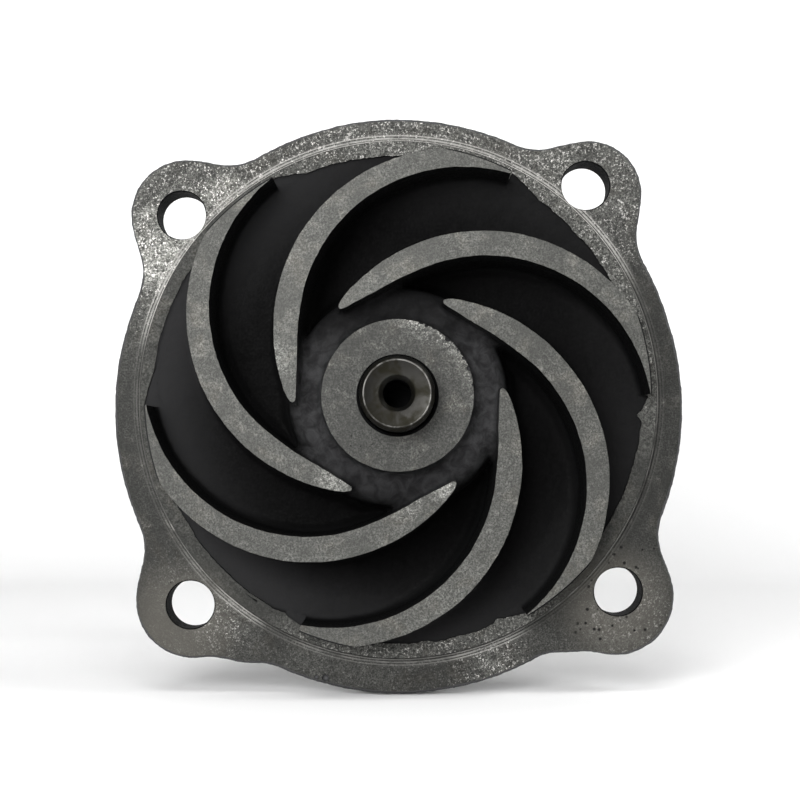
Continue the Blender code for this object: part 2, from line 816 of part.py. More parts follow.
def drive_hub_profile():
    bore, boss, pilot = SHAFT_RADIUS + PRESS_GAP, 16.0 * MM, 20.0 * MM
    edge = 1.0 * MM
    return [
        (bore, DRIVE_FRONT),
        (boss - edge, DRIVE_FRONT),
        (boss, DRIVE_FRONT + edge),
        (boss + 0.4 * MM, DRIVE_FLANGE_FRONT - 2.2 * MM),
        (boss + 2.2 * MM, DRIVE_FLANGE_FRONT - 0.4 * MM),
        (boss + 5.0 * MM, DRIVE_FLANGE_FRONT),
        (DRIVE_RADIUS - edge, DRIVE_FLANGE_FRONT),
        (DRIVE_RADIUS, DRIVE_FLANGE_FRONT + edge),
        (DRIVE_RADIUS, DRIVE_FLANGE_BACK - edge),
        (DRIVE_RADIUS - edge, DRIVE_FLANGE_BACK),
        (pilot, DRIVE_FLANGE_BACK),
        (pilot, DRIVE_BACK - edge),
        (pilot - edge, DRIVE_BACK),
        (bore, DRIVE_BACK),
    ]


def build_drive_hub(parts, tools, axis):
    hub = turned("drive_hub", drive_hub_profile(), 40, parts)
    for i in range(4):
        angle = math.radians(45 + 90 * i)
        x, z = DRIVE_HOLE_CIRCLE * math.cos(angle), DRIVE_HOLE_CIRCLE * math.sin(angle)
        ends = (x, DRIVE_FLANGE_FRONT - 2 * MM, z), (x, DRIVE_BACK, z)
        boolean(hub, rod(f"drive_hole_{i + 1}", DRIVE_HOLE_RADIUS, *ends, 12, tools), "DIFFERENCE")
    hang(hub, axis)
    return finish(hub, hub_steel())


def carry_on_mounting_face(parts):
    """Hangs every loose piece, cutter and axis on one empty, which sets where the origin is."""
    loose = [obj for obj in bpy.data.objects if obj.parent is None]
    face = axis_empty("mounting_face", -SHAFT_END, parts)
    for obj in loose:
        obj.parent = face


def main():
    clear_scene()
    parts = new_collection("coolant_pump")
    tools = new_collection("cutters")
    tools.hide_render = True
    shaft_axis = axis_empty("shaft_axis", 0.0, parts)
    float_axis = axis_empty("seal_float_axis", 0.0, parts)
    build_housing(parts, tools)
    build_impeller(parts, tools, shaft_axis)
    build_shaft(parts, shaft_axis)
    build_bearing_ring(parts)
    build_bearing_seals(parts)
    for row in ROW_Y:
        build_ball_row(row, parts, tools)
    build_clip(parts, tools)
    build_slinger(parts, shaft_axis)
    build_seal_case(parts)
    build_seal_bellows(parts)
    build_seal_spring(parts)
    build_carbon_ring(parts, float_axis)
    build_ring_retainer(parts, float_axis)
    build_mating_ring(parts, shaft_axis)
    build_mating_ring_cup(parts, shaft_axis)
    build_drive_hub(parts, tools, shaft_axis)
    carry_on_mounting_face(parts)


main()
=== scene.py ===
"""Looks of the coolant pump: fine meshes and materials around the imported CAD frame, in metres, +Z up.

The pump axis is +Y. Distances along Y are counted from the housing's mounting face, whose place comes
from the frame. Castings are made the way the foundry and the lathe make them: a rough body with a cast
skin is remeshed and smoothed, and turned cutters then leave the machined faces, recess, bores and holes.
"""

import json
import math

import bmesh
import bpy
import numpy as np
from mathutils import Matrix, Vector, noise


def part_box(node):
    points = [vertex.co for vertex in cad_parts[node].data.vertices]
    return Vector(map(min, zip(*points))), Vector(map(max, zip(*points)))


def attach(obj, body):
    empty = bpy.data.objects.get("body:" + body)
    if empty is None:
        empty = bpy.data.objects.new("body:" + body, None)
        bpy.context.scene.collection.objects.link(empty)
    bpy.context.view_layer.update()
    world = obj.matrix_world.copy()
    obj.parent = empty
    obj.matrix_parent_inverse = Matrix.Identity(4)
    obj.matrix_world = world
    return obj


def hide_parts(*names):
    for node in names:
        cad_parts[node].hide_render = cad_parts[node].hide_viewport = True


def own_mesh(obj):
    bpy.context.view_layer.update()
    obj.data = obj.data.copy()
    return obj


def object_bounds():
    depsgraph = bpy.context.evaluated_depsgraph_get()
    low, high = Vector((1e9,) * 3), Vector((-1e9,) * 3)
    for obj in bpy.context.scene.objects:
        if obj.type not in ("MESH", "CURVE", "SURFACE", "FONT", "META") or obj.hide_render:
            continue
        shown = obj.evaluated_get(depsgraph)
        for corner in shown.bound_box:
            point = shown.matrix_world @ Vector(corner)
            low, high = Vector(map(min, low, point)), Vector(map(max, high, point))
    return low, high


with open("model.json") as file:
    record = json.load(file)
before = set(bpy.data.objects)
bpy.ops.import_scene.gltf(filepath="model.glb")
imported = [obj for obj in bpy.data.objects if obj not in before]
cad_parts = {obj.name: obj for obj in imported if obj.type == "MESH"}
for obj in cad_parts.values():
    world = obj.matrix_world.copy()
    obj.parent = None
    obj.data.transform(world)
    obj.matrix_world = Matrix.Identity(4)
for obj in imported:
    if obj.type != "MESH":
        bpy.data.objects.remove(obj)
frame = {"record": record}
cad_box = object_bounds()

MM = 0.001

HOUSING_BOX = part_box("housing")
IMPELLER_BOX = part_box("impeller")
SHAFT_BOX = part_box("shaft")
DRIVE_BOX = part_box("drive_hub")
RING_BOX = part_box("bearing_outer_ring")
FACE_Y = HOUSING_BOX[0].y  # the mounting face

# Flange outline: two circles, four lobes and two shoulders, blended
FLANGE_THICKNESS = 8.0 * MM
FLANGE_RADIUS = 64.7 * MM
SUMP_RADIUS = 65.3 * MM
SUMP_DROP = 2.1 * MM
EAR_BLEND = 9.0 * MM
EARS = (
    ((43.8 * MM, 47.7 * MM), 12.1 * MM),
    ((-48.9 * MM, 42.7 * MM), 12.7 * MM),
    ((-47.4 * MM, -46.1 * MM), 13.1 * MM),
    ((50.0 * MM, -45.2 * MM), 13.4 * MM),
)
SHOULDERS = (((-34.5 * MM, -48.6 * MM), 11.6 * MM), ((38.0 * MM, -46.4 * MM), 11.0 * MM))
SHOULDER_BLEND = 3.0 * MM
BOLT_HOLE_RADIUS = 5.5 * MM
RECESS_RADIUS = 59.3 * MM
RECESS_DEPTH = 2.5 * MM

PITTED_EAR = (50 * MM, -47 * MM)
DUSTY_EARS = (PITTED_EAR, (-50 * MM, -51 * MM))
DUST = (0.098, 0.092, 0.08)
NICKS = ((255.2, 66.0 * MM, 0.8 * MM), (253.4, 66.4 * MM, 0.5 * MM), (13.0, 64.6 * MM, 0.5 * MM))

# Neck and ribs
NECK_RADIUS = 22.0 * MM
NECK_END = HOUSING_BOX[1].y - FACE_Y
NECK_FLARE = 18.0 * MM
NECK_FLARE_LENGTH = 6.0 * MM
RIB_THICKNESS = 7.0 * MM
RIB_REACH = 53.0 * MM
RIB_END = 46.0 * MM
SEAL_BORE_RADIUS = 18.0 * MM
SEAL_BORE_END = 13.3 * MM
CHAMBER_RADIUS = 13.0 * MM
CHAMBER_END = 22.0 * MM
BEARING_BORE_RADIUS = 15.3 * MM
WEEP_Y = 18.2 * MM
WEEP_RADIUS = 2.5 * MM
VENT_RADIUS = 1.8 * MM

# Impeller
VANE_COUNT = 6
RIM_RADIUS = 59.05 * MM
RIM_FRONT = -3.0 * MM
DISC_BACK = IMPELLER_BOX[1].y - FACE_Y
VANE_TIP_RADIUS = 56.3 * MM
EYE_RADIUS = 22.0 * MM
EYE_FRONT = IMPELLER_BOX[0].y - FACE_Y
TIP_FRONT = -13.0 * MM
HUB_RADIUS = 16.3 * MM
HUB_FRONT = -21.5 * MM
OUTER_SIDE = ((6.3 * MM, -18.9 * MM), 40.3 * MM)
INNER_SIDE = ((5.2 * MM, -20.4 * MM), 36.2 * MM)
BAND_INSIDE = 55.6 * MM  # inner edge of the turned band outside the passages
WIDER_PASSAGE = 0.6 * MM  # how much narrower the band is on the left
TIP_NOTCHES = (  # at each vane's tip: first and last angle (degrees) and how far out it reaches (mm)
    (296.4, 300.7, 56.7),
    (357.2, 361.0, 57.0),
    (53.7, 63.4, 57.8),
    (111.0, 119.7, 58.1),
    (170.6, 181.7, 58.1),
    (242.0, 246.9, 56.2),
)
LEAD_IN = ((-17.3 * MM, -49.3 * MM), 72.8 * MM)
LEAD_IN_START = (16.9 * MM, 14.9 * MM)
NOSE_CENTRE = (10.2 * MM, 20.1 * MM)
NOSE_RADIUS = 0.8 * MM

BURRS = ((356.3, 0.8, 1.0 * MM), (294.4, 1.1, 0.9 * MM), (244.6, 1.4, 0.5 * MM))  # angle, width (degrees), size

CHIP_SIZES = tuple(s * MM for s in (0.5, 0.3, 0.7, 0.4, 0.45, 0.75, 0.3, 0.6, 0.8, 0.35, 0.7, 0.4, 0.65))

# Shaft, bearing and seal
SHAFT_RADIUS = 8.0 * MM
SHAFT_FRONT = SHAFT_BOX[0].y - FACE_Y
SHAFT_END = SHAFT_BOX[1].y - FACE_Y
BALL_RADIUS = 2.78 * MM
BALL_PITCH_RADIUS = 10.7 * MM
GROOVE_RADIUS = 3.0 * MM
BALLS_IN_ROW = 8
ROW_Y = {"front": 31.0 * MM, "rear": 52.0 * MM}
RING_OUTER_RADIUS = 15.0 * MM
RING_INNER_RADIUS = 12.6 * MM
RING_START = RING_BOX[0].y - FACE_Y
RING_END = RING_BOX[1].y - FACE_Y

# How fine the meshes are
ROUND_STEPS = 256
SMALL_STEPS = 96
HOUSING_VOXEL = 0.8 * MM
IMPELLER_VOXEL = 0.62 * MM


# ---------------------------------------------------------------- plane geometry


def arc(centre, radius, start, end, count):
    """Points on an arc, from angle start to end in degrees, both included."""
    points = []
    for i in range(count):
        angle = math.radians(start + (end - start) * i / (count - 1))
        points.append((centre[0] + radius * math.cos(angle), centre[1] + radius * math.sin(angle)))
    return points


def angle_about(centre, point):
    return math.degrees(math.atan2(point[1] - centre[1], point[0] - centre[0]))


def rounded(corners):
    """A closed outline whose corners (a, b, radius) are rounded to their own radius."""
    points = []
    for i, (a, b, radius) in enumerate(corners):
        if radius == 0:
            points.append((a, b))
            continue
        corner = Vector((a, b))
        before = Vector(corners[i - 1][:2]) - corner
        after = Vector(corners[(i + 1) % len(corners)][:2]) - corner
        half = before.angle(after) / 2
        cut = min(radius / math.tan(half), 0.49 * before.length, 0.49 * after.length)
        before.normalize()
        after.normalize()
        centre = corner + (before + after).normalized() * (cut / math.cos(half))
        first = corner + before * cut - centre
        last = corner + after * cut - centre
        start = math.atan2(first.y, first.x)
        turn = (math.atan2(last.y, last.x) - start + math.pi) % math.tau - math.pi
        count = max(3, math.ceil(abs(turn) / math.radians(14)))
        for k in range(count + 1):
            angle = start + turn * k / count
            points.append((centre.x + first.length * math.cos(angle), centre.y + first.length * math.sin(angle)))
    return points


def smooth_nearer(first, second, blend):
    """The smaller of two distances, rounded over where they are alike."""
    overlap = max(blend - abs(first - second), 0.0) / blend
    return min(first, second) - overlap * overlap * blend / 4


def outside_flange(x, z):
    upper = math.hypot(x, z) - FLANGE_RADIUS
    lower = math.hypot(x, z + SUMP_DROP) - SUMP_RADIUS
    body = min(upper, lower)
    for (lobe_x, lobe_z), radius in EARS:
        body = smooth_nearer(body, math.hypot(x - lobe_x, z - lobe_z) - radius, EAR_BLEND)
    for (lobe_x, lobe_z), radius in SHOULDERS:
        body = smooth_nearer(body, math.hypot(x - lobe_x, z - lobe_z) - radius, SHOULDER_BLEND)
    return body


def flange_reach(angle):
    """Radius of the flange's outline at an angle, found by halving."""
    near, far = RECESS_RADIUS, 2 * FLANGE_RADIUS
    for _ in range(30):
        middle = (near + far) / 2
        if outside_flange(middle * math.cos(angle), middle * math.sin(angle)) < 0:
            near = middle
        else:
            far = middle
    return near


def where_arc_meets_circle(centre, radius, circle_radius):
    distance = math.hypot(*centre)
    along = (circle_radius**2 - radius**2 - distance**2) / (2 * radius * distance)
    return math.degrees(math.atan2(centre[1], centre[0]) + math.acos(along))


def vane_outline():
    """The vane seen from the front, anticlockwise: outer end, outer side, nose, lead-in, inner side."""
    past_tip = VANE_TIP_RADIUS + 0.7 * MM
    outer_end = where_arc_meets_circle(*OUTER_SIDE, past_tip)
    inner_end = where_arc_meets_circle(*INNER_SIDE, past_tip)
    nose_top = (NOSE_CENTRE[0], NOSE_CENTRE[1] + NOSE_RADIUS)
    outer_start = angle_about(OUTER_SIDE[0], nose_top) - 2.5
    touch = angle_about(LEAD_IN[0], INNER_SIDE[0])
    lead_start = angle_about(LEAD_IN[0], LEAD_IN_START)
    outer = arc(*OUTER_SIDE, outer_end, outer_start, 90)
    nose = arc(NOSE_CENTRE, NOSE_RADIUS, 85, 235, 9)
    lead = arc(*LEAD_IN, lead_start, touch, 14)
    inner = arc(*INNER_SIDE, touch, inner_end, 80)
    tip_angles = [angle_about((0.0, 0.0), point) for point in (inner[-1], outer[0])]
    tip = arc((0.0, 0.0), past_tip, *tip_angles, 12)
    return outer + nose + lead + inner[1:] + tip[1:-1]


def grown(outline, distance):
    """The outline moved outwards by a distance, point by point."""
    points = np.array(outline)
    along = np.roll(points, -1, axis=0) - np.roll(points, 1, axis=0)
    outward = np.stack([along[:, 1], -along[:, 0]], axis=1)
    outward /= np.linalg.norm(outward, axis=1, keepdims=True)
    area = np.sum(points[:, 0] * np.roll(points[:, 1], -1) - np.roll(points[:, 0], -1) * points[:, 1])
    return points + outward * (distance if area > 0 else -distance)


# ---------------------------------------------------------------- meshes


def mesh_object(name, vertices, faces):
    mesh = bpy.data.meshes.new(name)
    mesh.from_pydata([tuple(v) for v in vertices], [], faces)
    made = bpy.data.objects.new(name, mesh)
    bpy.context.scene.collection.objects.link(made)
    face_out(made)
    return made


def face_out(obj):
    work = bmesh.new()
    work.from_mesh(obj.data)
    bmesh.ops.recalc_face_normals(work, faces=work.faces)
    work.to_mesh(obj.data)
    work.free()


def revolved(name, profile, steps=ROUND_STEPS):
    """A closed profile of (radius, y) turned round the pump axis."""
    vertices, rings = [], []
    for radius, y in profile:
        if radius < 1e-7:
            rings.append([len(vertices)] * steps)
            vertices.append((0.0, FACE_Y + y, 0.0))
            continue
        rings.append(range(len(vertices), len(vertices) + steps))
        for i in range(steps):
            angle = math.tau * i / steps
            vertices.append((radius * math.cos(angle), FACE_Y + y, radius * math.sin(angle)))
    faces = []
    for here, there in zip(rings, rings[1:] + rings[:1]):
        for i in range(steps):
            j = (i + 1) % steps
            corners = dict.fromkeys((here[i], here[j], there[j], there[i]))
            if len(corners) > 2:
                faces.append(tuple(corners))
    return mesh_object(name, vertices, faces)


def lofted(name, sections):
    """A solid through sections (y, outline) of equal point count, closed at both ends."""
    vertices, faces = [], []
    for y, outline in sections:
        vertices.extend((x, FACE_Y + y, z) for x, z in outline)
    count = len(sections[0][1])
    for level in range(len(sections) - 1):
        for i in range(count):
            j = (i + 1) % count
            low, high = level * count, (level + 1) * count
            faces.append((low + i, low + j, high + j, high + i))
    faces.append(tuple(range(count)))
    faces.append(tuple(range(len(vertices) - count, len(vertices))))
    return mesh_object(name, vertices, faces)


def extruded(name, outline, front, back):
    return lofted(name, [(front, outline), (back, outline)])


def rod(name, radius, start, end, steps=48):
    """A plain cylinder between two points (x, y, z), y counted from the mounting face."""
    a = Vector((start[0], FACE_Y + start[1], start[2]))
    b = Vector((end[0], FACE_Y + end[1], end[2]))
    turn = (b - a).to_track_quat("Z", "Y")
    vertices = []
    for centre in (a, b):
        for i in range(steps):
            angle = math.tau * i / steps
            vertices.append(centre + turn @ Vector((radius * math.cos(angle), radius * math.sin(angle), 0)))
    faces = [(i, (i + 1) % steps, steps + (i + 1) % steps, steps + i) for i in range(steps)]
    faces += [tuple(range(steps)), tuple(range(steps, 2 * steps))]
    return mesh_object(name, vertices, faces)


def settle(obj):
    """Replaces an object's mesh by what its modifiers make of it."""
    graph = bpy.context.evaluated_depsgraph_get()
    mesh = bpy.data.meshes.new_from_object(obj.evaluated_get(graph))
    obj.modifiers.clear()
    obj.data = mesh
    return obj


def boolean(obj, tool, operation, solver="MANIFOLD"):
    cut = obj.modifiers.new(operation, "BOOLEAN")
    cut.object = tool
    cut.operation = operation
    cut.solver = solver
    settle(obj)
    bpy.data.objects.remove(tool, do_unlink=True)
    return obj


def joined(objects):
    """Several meshes as one object, which keeps the first one's name."""
    first = objects[0]
    work = bmesh.new()
    for obj in objects:
        work.from_mesh(obj.data)
    work.to_mesh(first.data)
    work.free()
    for obj in objects[1:]:
        bpy.data.objects.remove(obj, do_unlink=True)
    return first


def remeshed(obj, voxel, rounds):
    """One even skin over overlapping solids, smoothed so that inner corners become casting fillets."""
    skin = obj.modifiers.new("skin", "REMESH")
    skin.mode = "VOXEL"
    skin.voxel_size = voxel
    soft = obj.modifiers.new("soft", "SMOOTH")
    soft.factor = 0.5
    soft.iterations = rounds
    return settle(obj)


def roughened(obj, waves, seed):
    """Moves each vertex along its normal by noise: waves is a list of (size of a bump, height)."""
    mesh = obj.data
    count = len(mesh.vertices)
    places = np.empty(count * 3)
    mesh.vertices.foreach_get("co", places)
    normals = np.empty(count * 3)
    mesh.vertex_normals.foreach_get("vector", normals)
    places = places.reshape(-1, 3)
    normals = normals.reshape(-1, 3)
    lift = np.zeros(count)
    for size, height in waves:
        for i, place in enumerate(places / size + seed):
            lift[i] += height * noise.noise(place)
    mesh.vertices.foreach_set("co", (places + normals * lift[:, None]).ravel())
    mesh.update()
    return obj


def shaded(obj, degrees=30):
    obj.data.shade_smooth()
    obj.data.set_sharp_from_angle(angle=math.radians(degrees))
    return obj


def painted(obj, *looks, choose=None):
    """Gives the object its materials; choose(centre, normal) returns a face's material number."""
    obj.data.materials.clear()
    for look in looks:
        obj.data.materials.append(look)
    for face in obj.data.polygons:
        face.material_index = choose(face.center, face.normal) if choose else 0
    return obj


# ---------------------------------------------------------------- material nodes


def tinted(tone):
    """Machined iron's slightly olive grey."""
    return (tone, tone * 1.005, tone * 0.93)


def bluish(tone):
    """The cold grey of a painted or burnt casting skin."""
    return (tone, tone * 1.0, tone * 1.03)


class Look:
    """A material under construction: each call adds one node and returns its output."""

    def __init__(self, name):
        self.material = bpy.data.materials.new(name)
        self.material.use_nodes = True
        self.tree = self.material.node_tree
        self.shader = self.tree.nodes["Principled BSDF"]
        self.place = self.add("ShaderNodeTexCoord").outputs["Object"]

    def add(self, kind, inputs=None, **settings):
        made = self.tree.nodes.new(kind)
        for key, value in settings.items():
            setattr(made, key, value)
        for key, value in (inputs or {}).items():
            self.feed(made.inputs[key], value)
        return made

    def feed(self, socket, value):
        if isinstance(value, bpy.types.NodeSocket):
            self.tree.links.new(value, socket)
        else:
            socket.default_value = value

    def grain(self, size, detail=2.0, roughness=0.55, distortion=0.0, place=None):
        """Noise from 0 to 1 whose features measure about size metres."""
        inputs = {
            "Vector": place or self.place,
            "Scale": 1.0 / size,
            "Detail": detail,
            "Roughness": roughness,
            "Distortion": distortion,
        }
        return self.add("ShaderNodeTexNoise", inputs).outputs["Fac"]

    def cells(self, size, feature="F1"):
        inputs = {"Vector": self.place, "Scale": 1.0 / size}
        return self.add("ShaderNodeTexVoronoi", inputs, feature=feature).outputs["Distance"]

    def ramp(self, value, low, high, start=0.0, end=1.0):
        """Maps low..high to start..end, smoothly and clamped."""
        inputs = {"Value": value, "From Min": low, "From Max": high, "To Min": start, "To Max": end}
        made = self.add("ShaderNodeMapRange", inputs, interpolation_type="SMOOTHSTEP")
        return made.outputs["Result"]

    def math(self, operation, first, second=0.0):
        return self.add("ShaderNodeMath", {0: first, 1: second}, operation=operation).outputs[0]

    def mix(self, share, first, second):
        """A colour between two colours, by a share from 0 to 1."""
        made = self.add("ShaderNodeMix", data_type="RGBA")
        self.feed(made.inputs[0], share)
        for socket, colour in ((made.inputs[6], first), (made.inputs[7], second)):
            self.feed(socket, colour if isinstance(colour, bpy.types.NodeSocket) else (*colour, 1.0))
        return made.outputs[2]

    def across(self):
        """Distance from the pump axis, in metres."""
        return self.away_from(0.0, 0.0)

    def towards(self, x, z, low, high):
        """0 to 1 along a direction in the plane of the flange, between two distances from the axis."""
        inputs = {0: self.place, 1: (x, 0.0, z)}
        along = self.add("ShaderNodeVectorMath", inputs, operation="DOT_PRODUCT").outputs["Value"]
        return self.ramp(along, low, high)

    def away_from(self, x, z):
        """Distance from a place (x, z), seen along the pump axis."""
        inputs = {0: self.place, 1: (x, 0.0, z)}
        moved = self.add("ShaderNodeVectorMath", inputs, operation="SUBTRACT").outputs[0]
        flat = self.add("ShaderNodeVectorMath", {0: moved, 1: (1.0, 0.0, 1.0)}, operation="MULTIPLY").outputs[0]
        return self.add("ShaderNodeVectorMath", {0: flat}, operation="LENGTH").outputs["Value"]

    def steepness(self, low, high, start, end):
        """Maps how much a face looks along the pump axis, 1 for flat on and 0 for a wall."""
        inputs = {0: self.add("ShaderNodeNewGeometry").outputs["Normal"], 1: (0.0, 1.0, 0.0)}
        along = self.add("ShaderNodeVectorMath", inputs, operation="DOT_PRODUCT").outputs["Value"]
        return self.ramp(self.math("ABSOLUTE", along), low, high, start, end)

    def turning(self, pitch):
        """Lathe lines: rings of uneven height, about one for each pitch."""
        wander = self.math("MULTIPLY", self.grain(18 * MM, 2.0), 0.25 * MM)
        ring = self.math("ADD", self.across(), wander)
        scaled = self.math("DIVIDE", ring, pitch)
        line = self.add("ShaderNodeCombineXYZ", {0: scaled}).outputs[0]
        inputs = {"Vector": line, "Scale": 1.0, "Detail": 3.0, "Roughness": 0.7}
        return self.add("ShaderNodeTexNoise", inputs).outputs["Fac"]

    def relief(self, height, depth, strength=1.0, under=None):
        inputs = {"Height": height, "Distance": depth, "Strength": strength}
        if under is not None:
            inputs["Normal"] = under
        return self.add("ShaderNodeBump", inputs).outputs["Normal"]

    def finish(self, colour, roughness, metallic=1.0, normal=None, **extra):
        self.feed(self.shader.inputs["Base Color"], colour if not isinstance(colour, tuple) else (*colour, 1.0))
        self.feed(self.shader.inputs["Roughness"], roughness)
        self.feed(self.shader.inputs["Metallic"], metallic)
        if normal is not None:
            self.feed(self.shader.inputs["Normal"], normal)
        for key, value in extra.items():
            self.feed(self.shader.inputs[key.replace("_", " ")], value)
        return self.material


def machined_iron(name, tone, painted_glint_share=0.3, sides=(), spots=(), rings=0.0, metal=0.75, patchy=0.5, pitted=0.08, stains=20 * MM):
    """Faced grey iron: smeared and stained, tearing into grain in some places, with glints and highlights painted
    into its colour.

    The third argument is how much of the grain gets painted glints where it is worst. Each of the sides (x, z, near,
    far, share) is a direction, the two distances between which the tearing and its painted highlight set in, and how
    strong they get; each of the spots (x, z, near, far, share) is a place, and the distances from it over which they
    fade. Past a share of 1 the colour turns into a painted highlight. rings adds lathe rings just outside the
    recess, painted as bright lines, and a painted highlight along the recess edge; pitted is the size of the pits.
    """
    look = Look(name)
    fine = look.grain(0.4 * MM, 3.0, 0.75)
    coarse = look.grain(0.85 * MM, 3.0, 0.7)
    patch = look.grain(6 * MM, 3.0, 0.6, 0.4)
    stain = look.grain(stains, 3.0, 0.6, 0.6)
    # How much the grain tears: random patches, raised by the sides and spots, which also place the painted
    # highlights.
    rough = look.ramp(patch, 0.45, 0.72, 0.0, patchy)
    for x, z, near, far, share in sides:
        one = look.math("MULTIPLY", look.towards(x, z, near, far), share)
        rough = look.math("MAXIMUM", rough, one)
    for x, z, near, far, share in spots:
        rough = look.math("MAXIMUM", rough, look.ramp(look.away_from(x, z), far, near, 0.0, share))
    speck = look.ramp(fine, 0.36, 0.66)
    smooth_base = look.mix(speck, tinted(tone * 0.5), tinted(tone * 1.65))
    # Lighter colour where the grain tears, partly the grain's own and partly painted highlight.
    torn_and_highlight_base = look.mix(speck, tinted(tone * 0.8), tinted(tone * 4.2))
    # Past a share of 1 the colour becomes a painted highlight.
    painted_highlight_base = look.mix(speck, tinted(tone * 2.6), tinted(tone * 14.5))
    base = look.mix(look.math("MINIMUM", rough, 1.0), smooth_base, torn_and_highlight_base)
    base = look.mix(look.ramp(rough, 1.0, 1.45, 0.0, 0.9), base, painted_highlight_base)
    base = look.mix(look.ramp(coarse, 0.38, 0.66, 0.5, 0.0), base, tinted(tone * 0.5))
    base = look.mix(look.ramp(stain, 0.4, 0.66, 0.0, 0.55), base, tinted(tone * 0.62))
    base = look.mix(look.ramp(patch, 0.5, 0.72, 0.0, 0.25), base, (tone * 1.15, tone * 1.0, tone * 0.76))
    hollows = look.math("MULTIPLY", look.ramp(coarse, 0.5, 0.34, 0.0, 0.6), look.ramp(rough, 0.0, 1.0))
    base = look.mix(hollows, base, tinted(tone * 0.3))
    for place in DUSTY_EARS:
        base = look.mix(look.ramp(look.away_from(*place), 17 * MM, 5 * MM, 0.0, 0.5), base, DUST)
    # Painted glints: bright colour where single grains would catch the light.
    facet = look.ramp(look.grain(0.42 * MM, 2.0, 0.8), 0.52, 0.74, 0.0, painted_glint_share)
    facet = look.math("MULTIPLY", facet, look.ramp(look.grain(2.6 * MM, 2.0), 0.34, 0.6, 0.25, 1.0))
    painted_glint = look.math("MULTIPLY", facet, look.math("MULTIPLY", rough, rough))
    base = look.mix(painted_glint, base, (0.6, 0.585, 0.56))
    # Lathe rings painted as bright lines, and a painted highlight along the recess edge, crisper on the lower right.
    if rings:
        close = look.ramp(look.across(), RECESS_RADIUS + 2.6 * MM, RECESS_RADIUS + 1.2 * MM, 0.04, rings)
        worn = look.ramp(rough, 0.2, 0.9, 0.1, 1.0)
        line = look.math("MULTIPLY", look.ramp(look.turning(0.42 * MM), 0.47, 0.6), close)
        base = look.mix(look.math("MULTIPLY", line, worn), base, (0.42, 0.41, 0.39))
        edge = look.ramp(look.across(), RECESS_RADIUS + 0.5 * MM, RECESS_RADIUS + 0.25 * MM, 0.0, 0.7)
        painted_highlight_side = look.math("MAXIMUM", worn, look.towards(0.93, -0.37, 10 * MM, 50 * MM))
        edge = look.math("MULTIPLY", edge, painted_highlight_side)
        off_ring = look.math("ABSOLUTE", look.math("SUBTRACT", look.across(), RECESS_RADIUS + 1.0 * MM))
        second = look.math("MULTIPLY", look.ramp(off_ring, 0.3 * MM, 0.1 * MM, 0.0, 0.75), worn)
        edge = look.math("MAXIMUM", edge, second)
        edge = look.math("MULTIPLY", edge, look.ramp(look.grain(5 * MM, 4.0), 0.36, 0.6, 0.15, 1.0))
        base = look.mix(edge, base, (0.3, 0.295, 0.28))
    near_ear = look.ramp(look.away_from(*PITTED_EAR), 20 * MM, 10 * MM)
    size = look.ramp(near_ear, 0.0, 1.0, pitted, pitted * 2.4)
    pit = look.ramp(look.math("DIVIDE", look.cells(1.9 * MM), size), 0.7, 1.2, 0.9, 0.0)
    spread = look.math("ADD", look.grain(9 * MM, 2.0), look.math("MULTIPLY", near_ear, 0.07))
    pit = look.math("MULTIPLY", pit, look.ramp(spread, 0.5, 0.6))
    base = look.mix(pit, base, (0.004, 0.004, 0.004))
    roughness = look.ramp(painted_glint, 0.0, painted_glint_share, 0.6, 0.34)
    normal = look.relief(fine, 0.08 * MM, 0.6)
    normal = look.relief(look.math("MULTIPLY", coarse, rough), 0.28 * MM, 0.9, normal)
    normal = look.relief(pit, -0.2 * MM, 0.8, normal)
    return look.finish(base, roughness, metal, normal, Specular_IOR_Level=0.3)


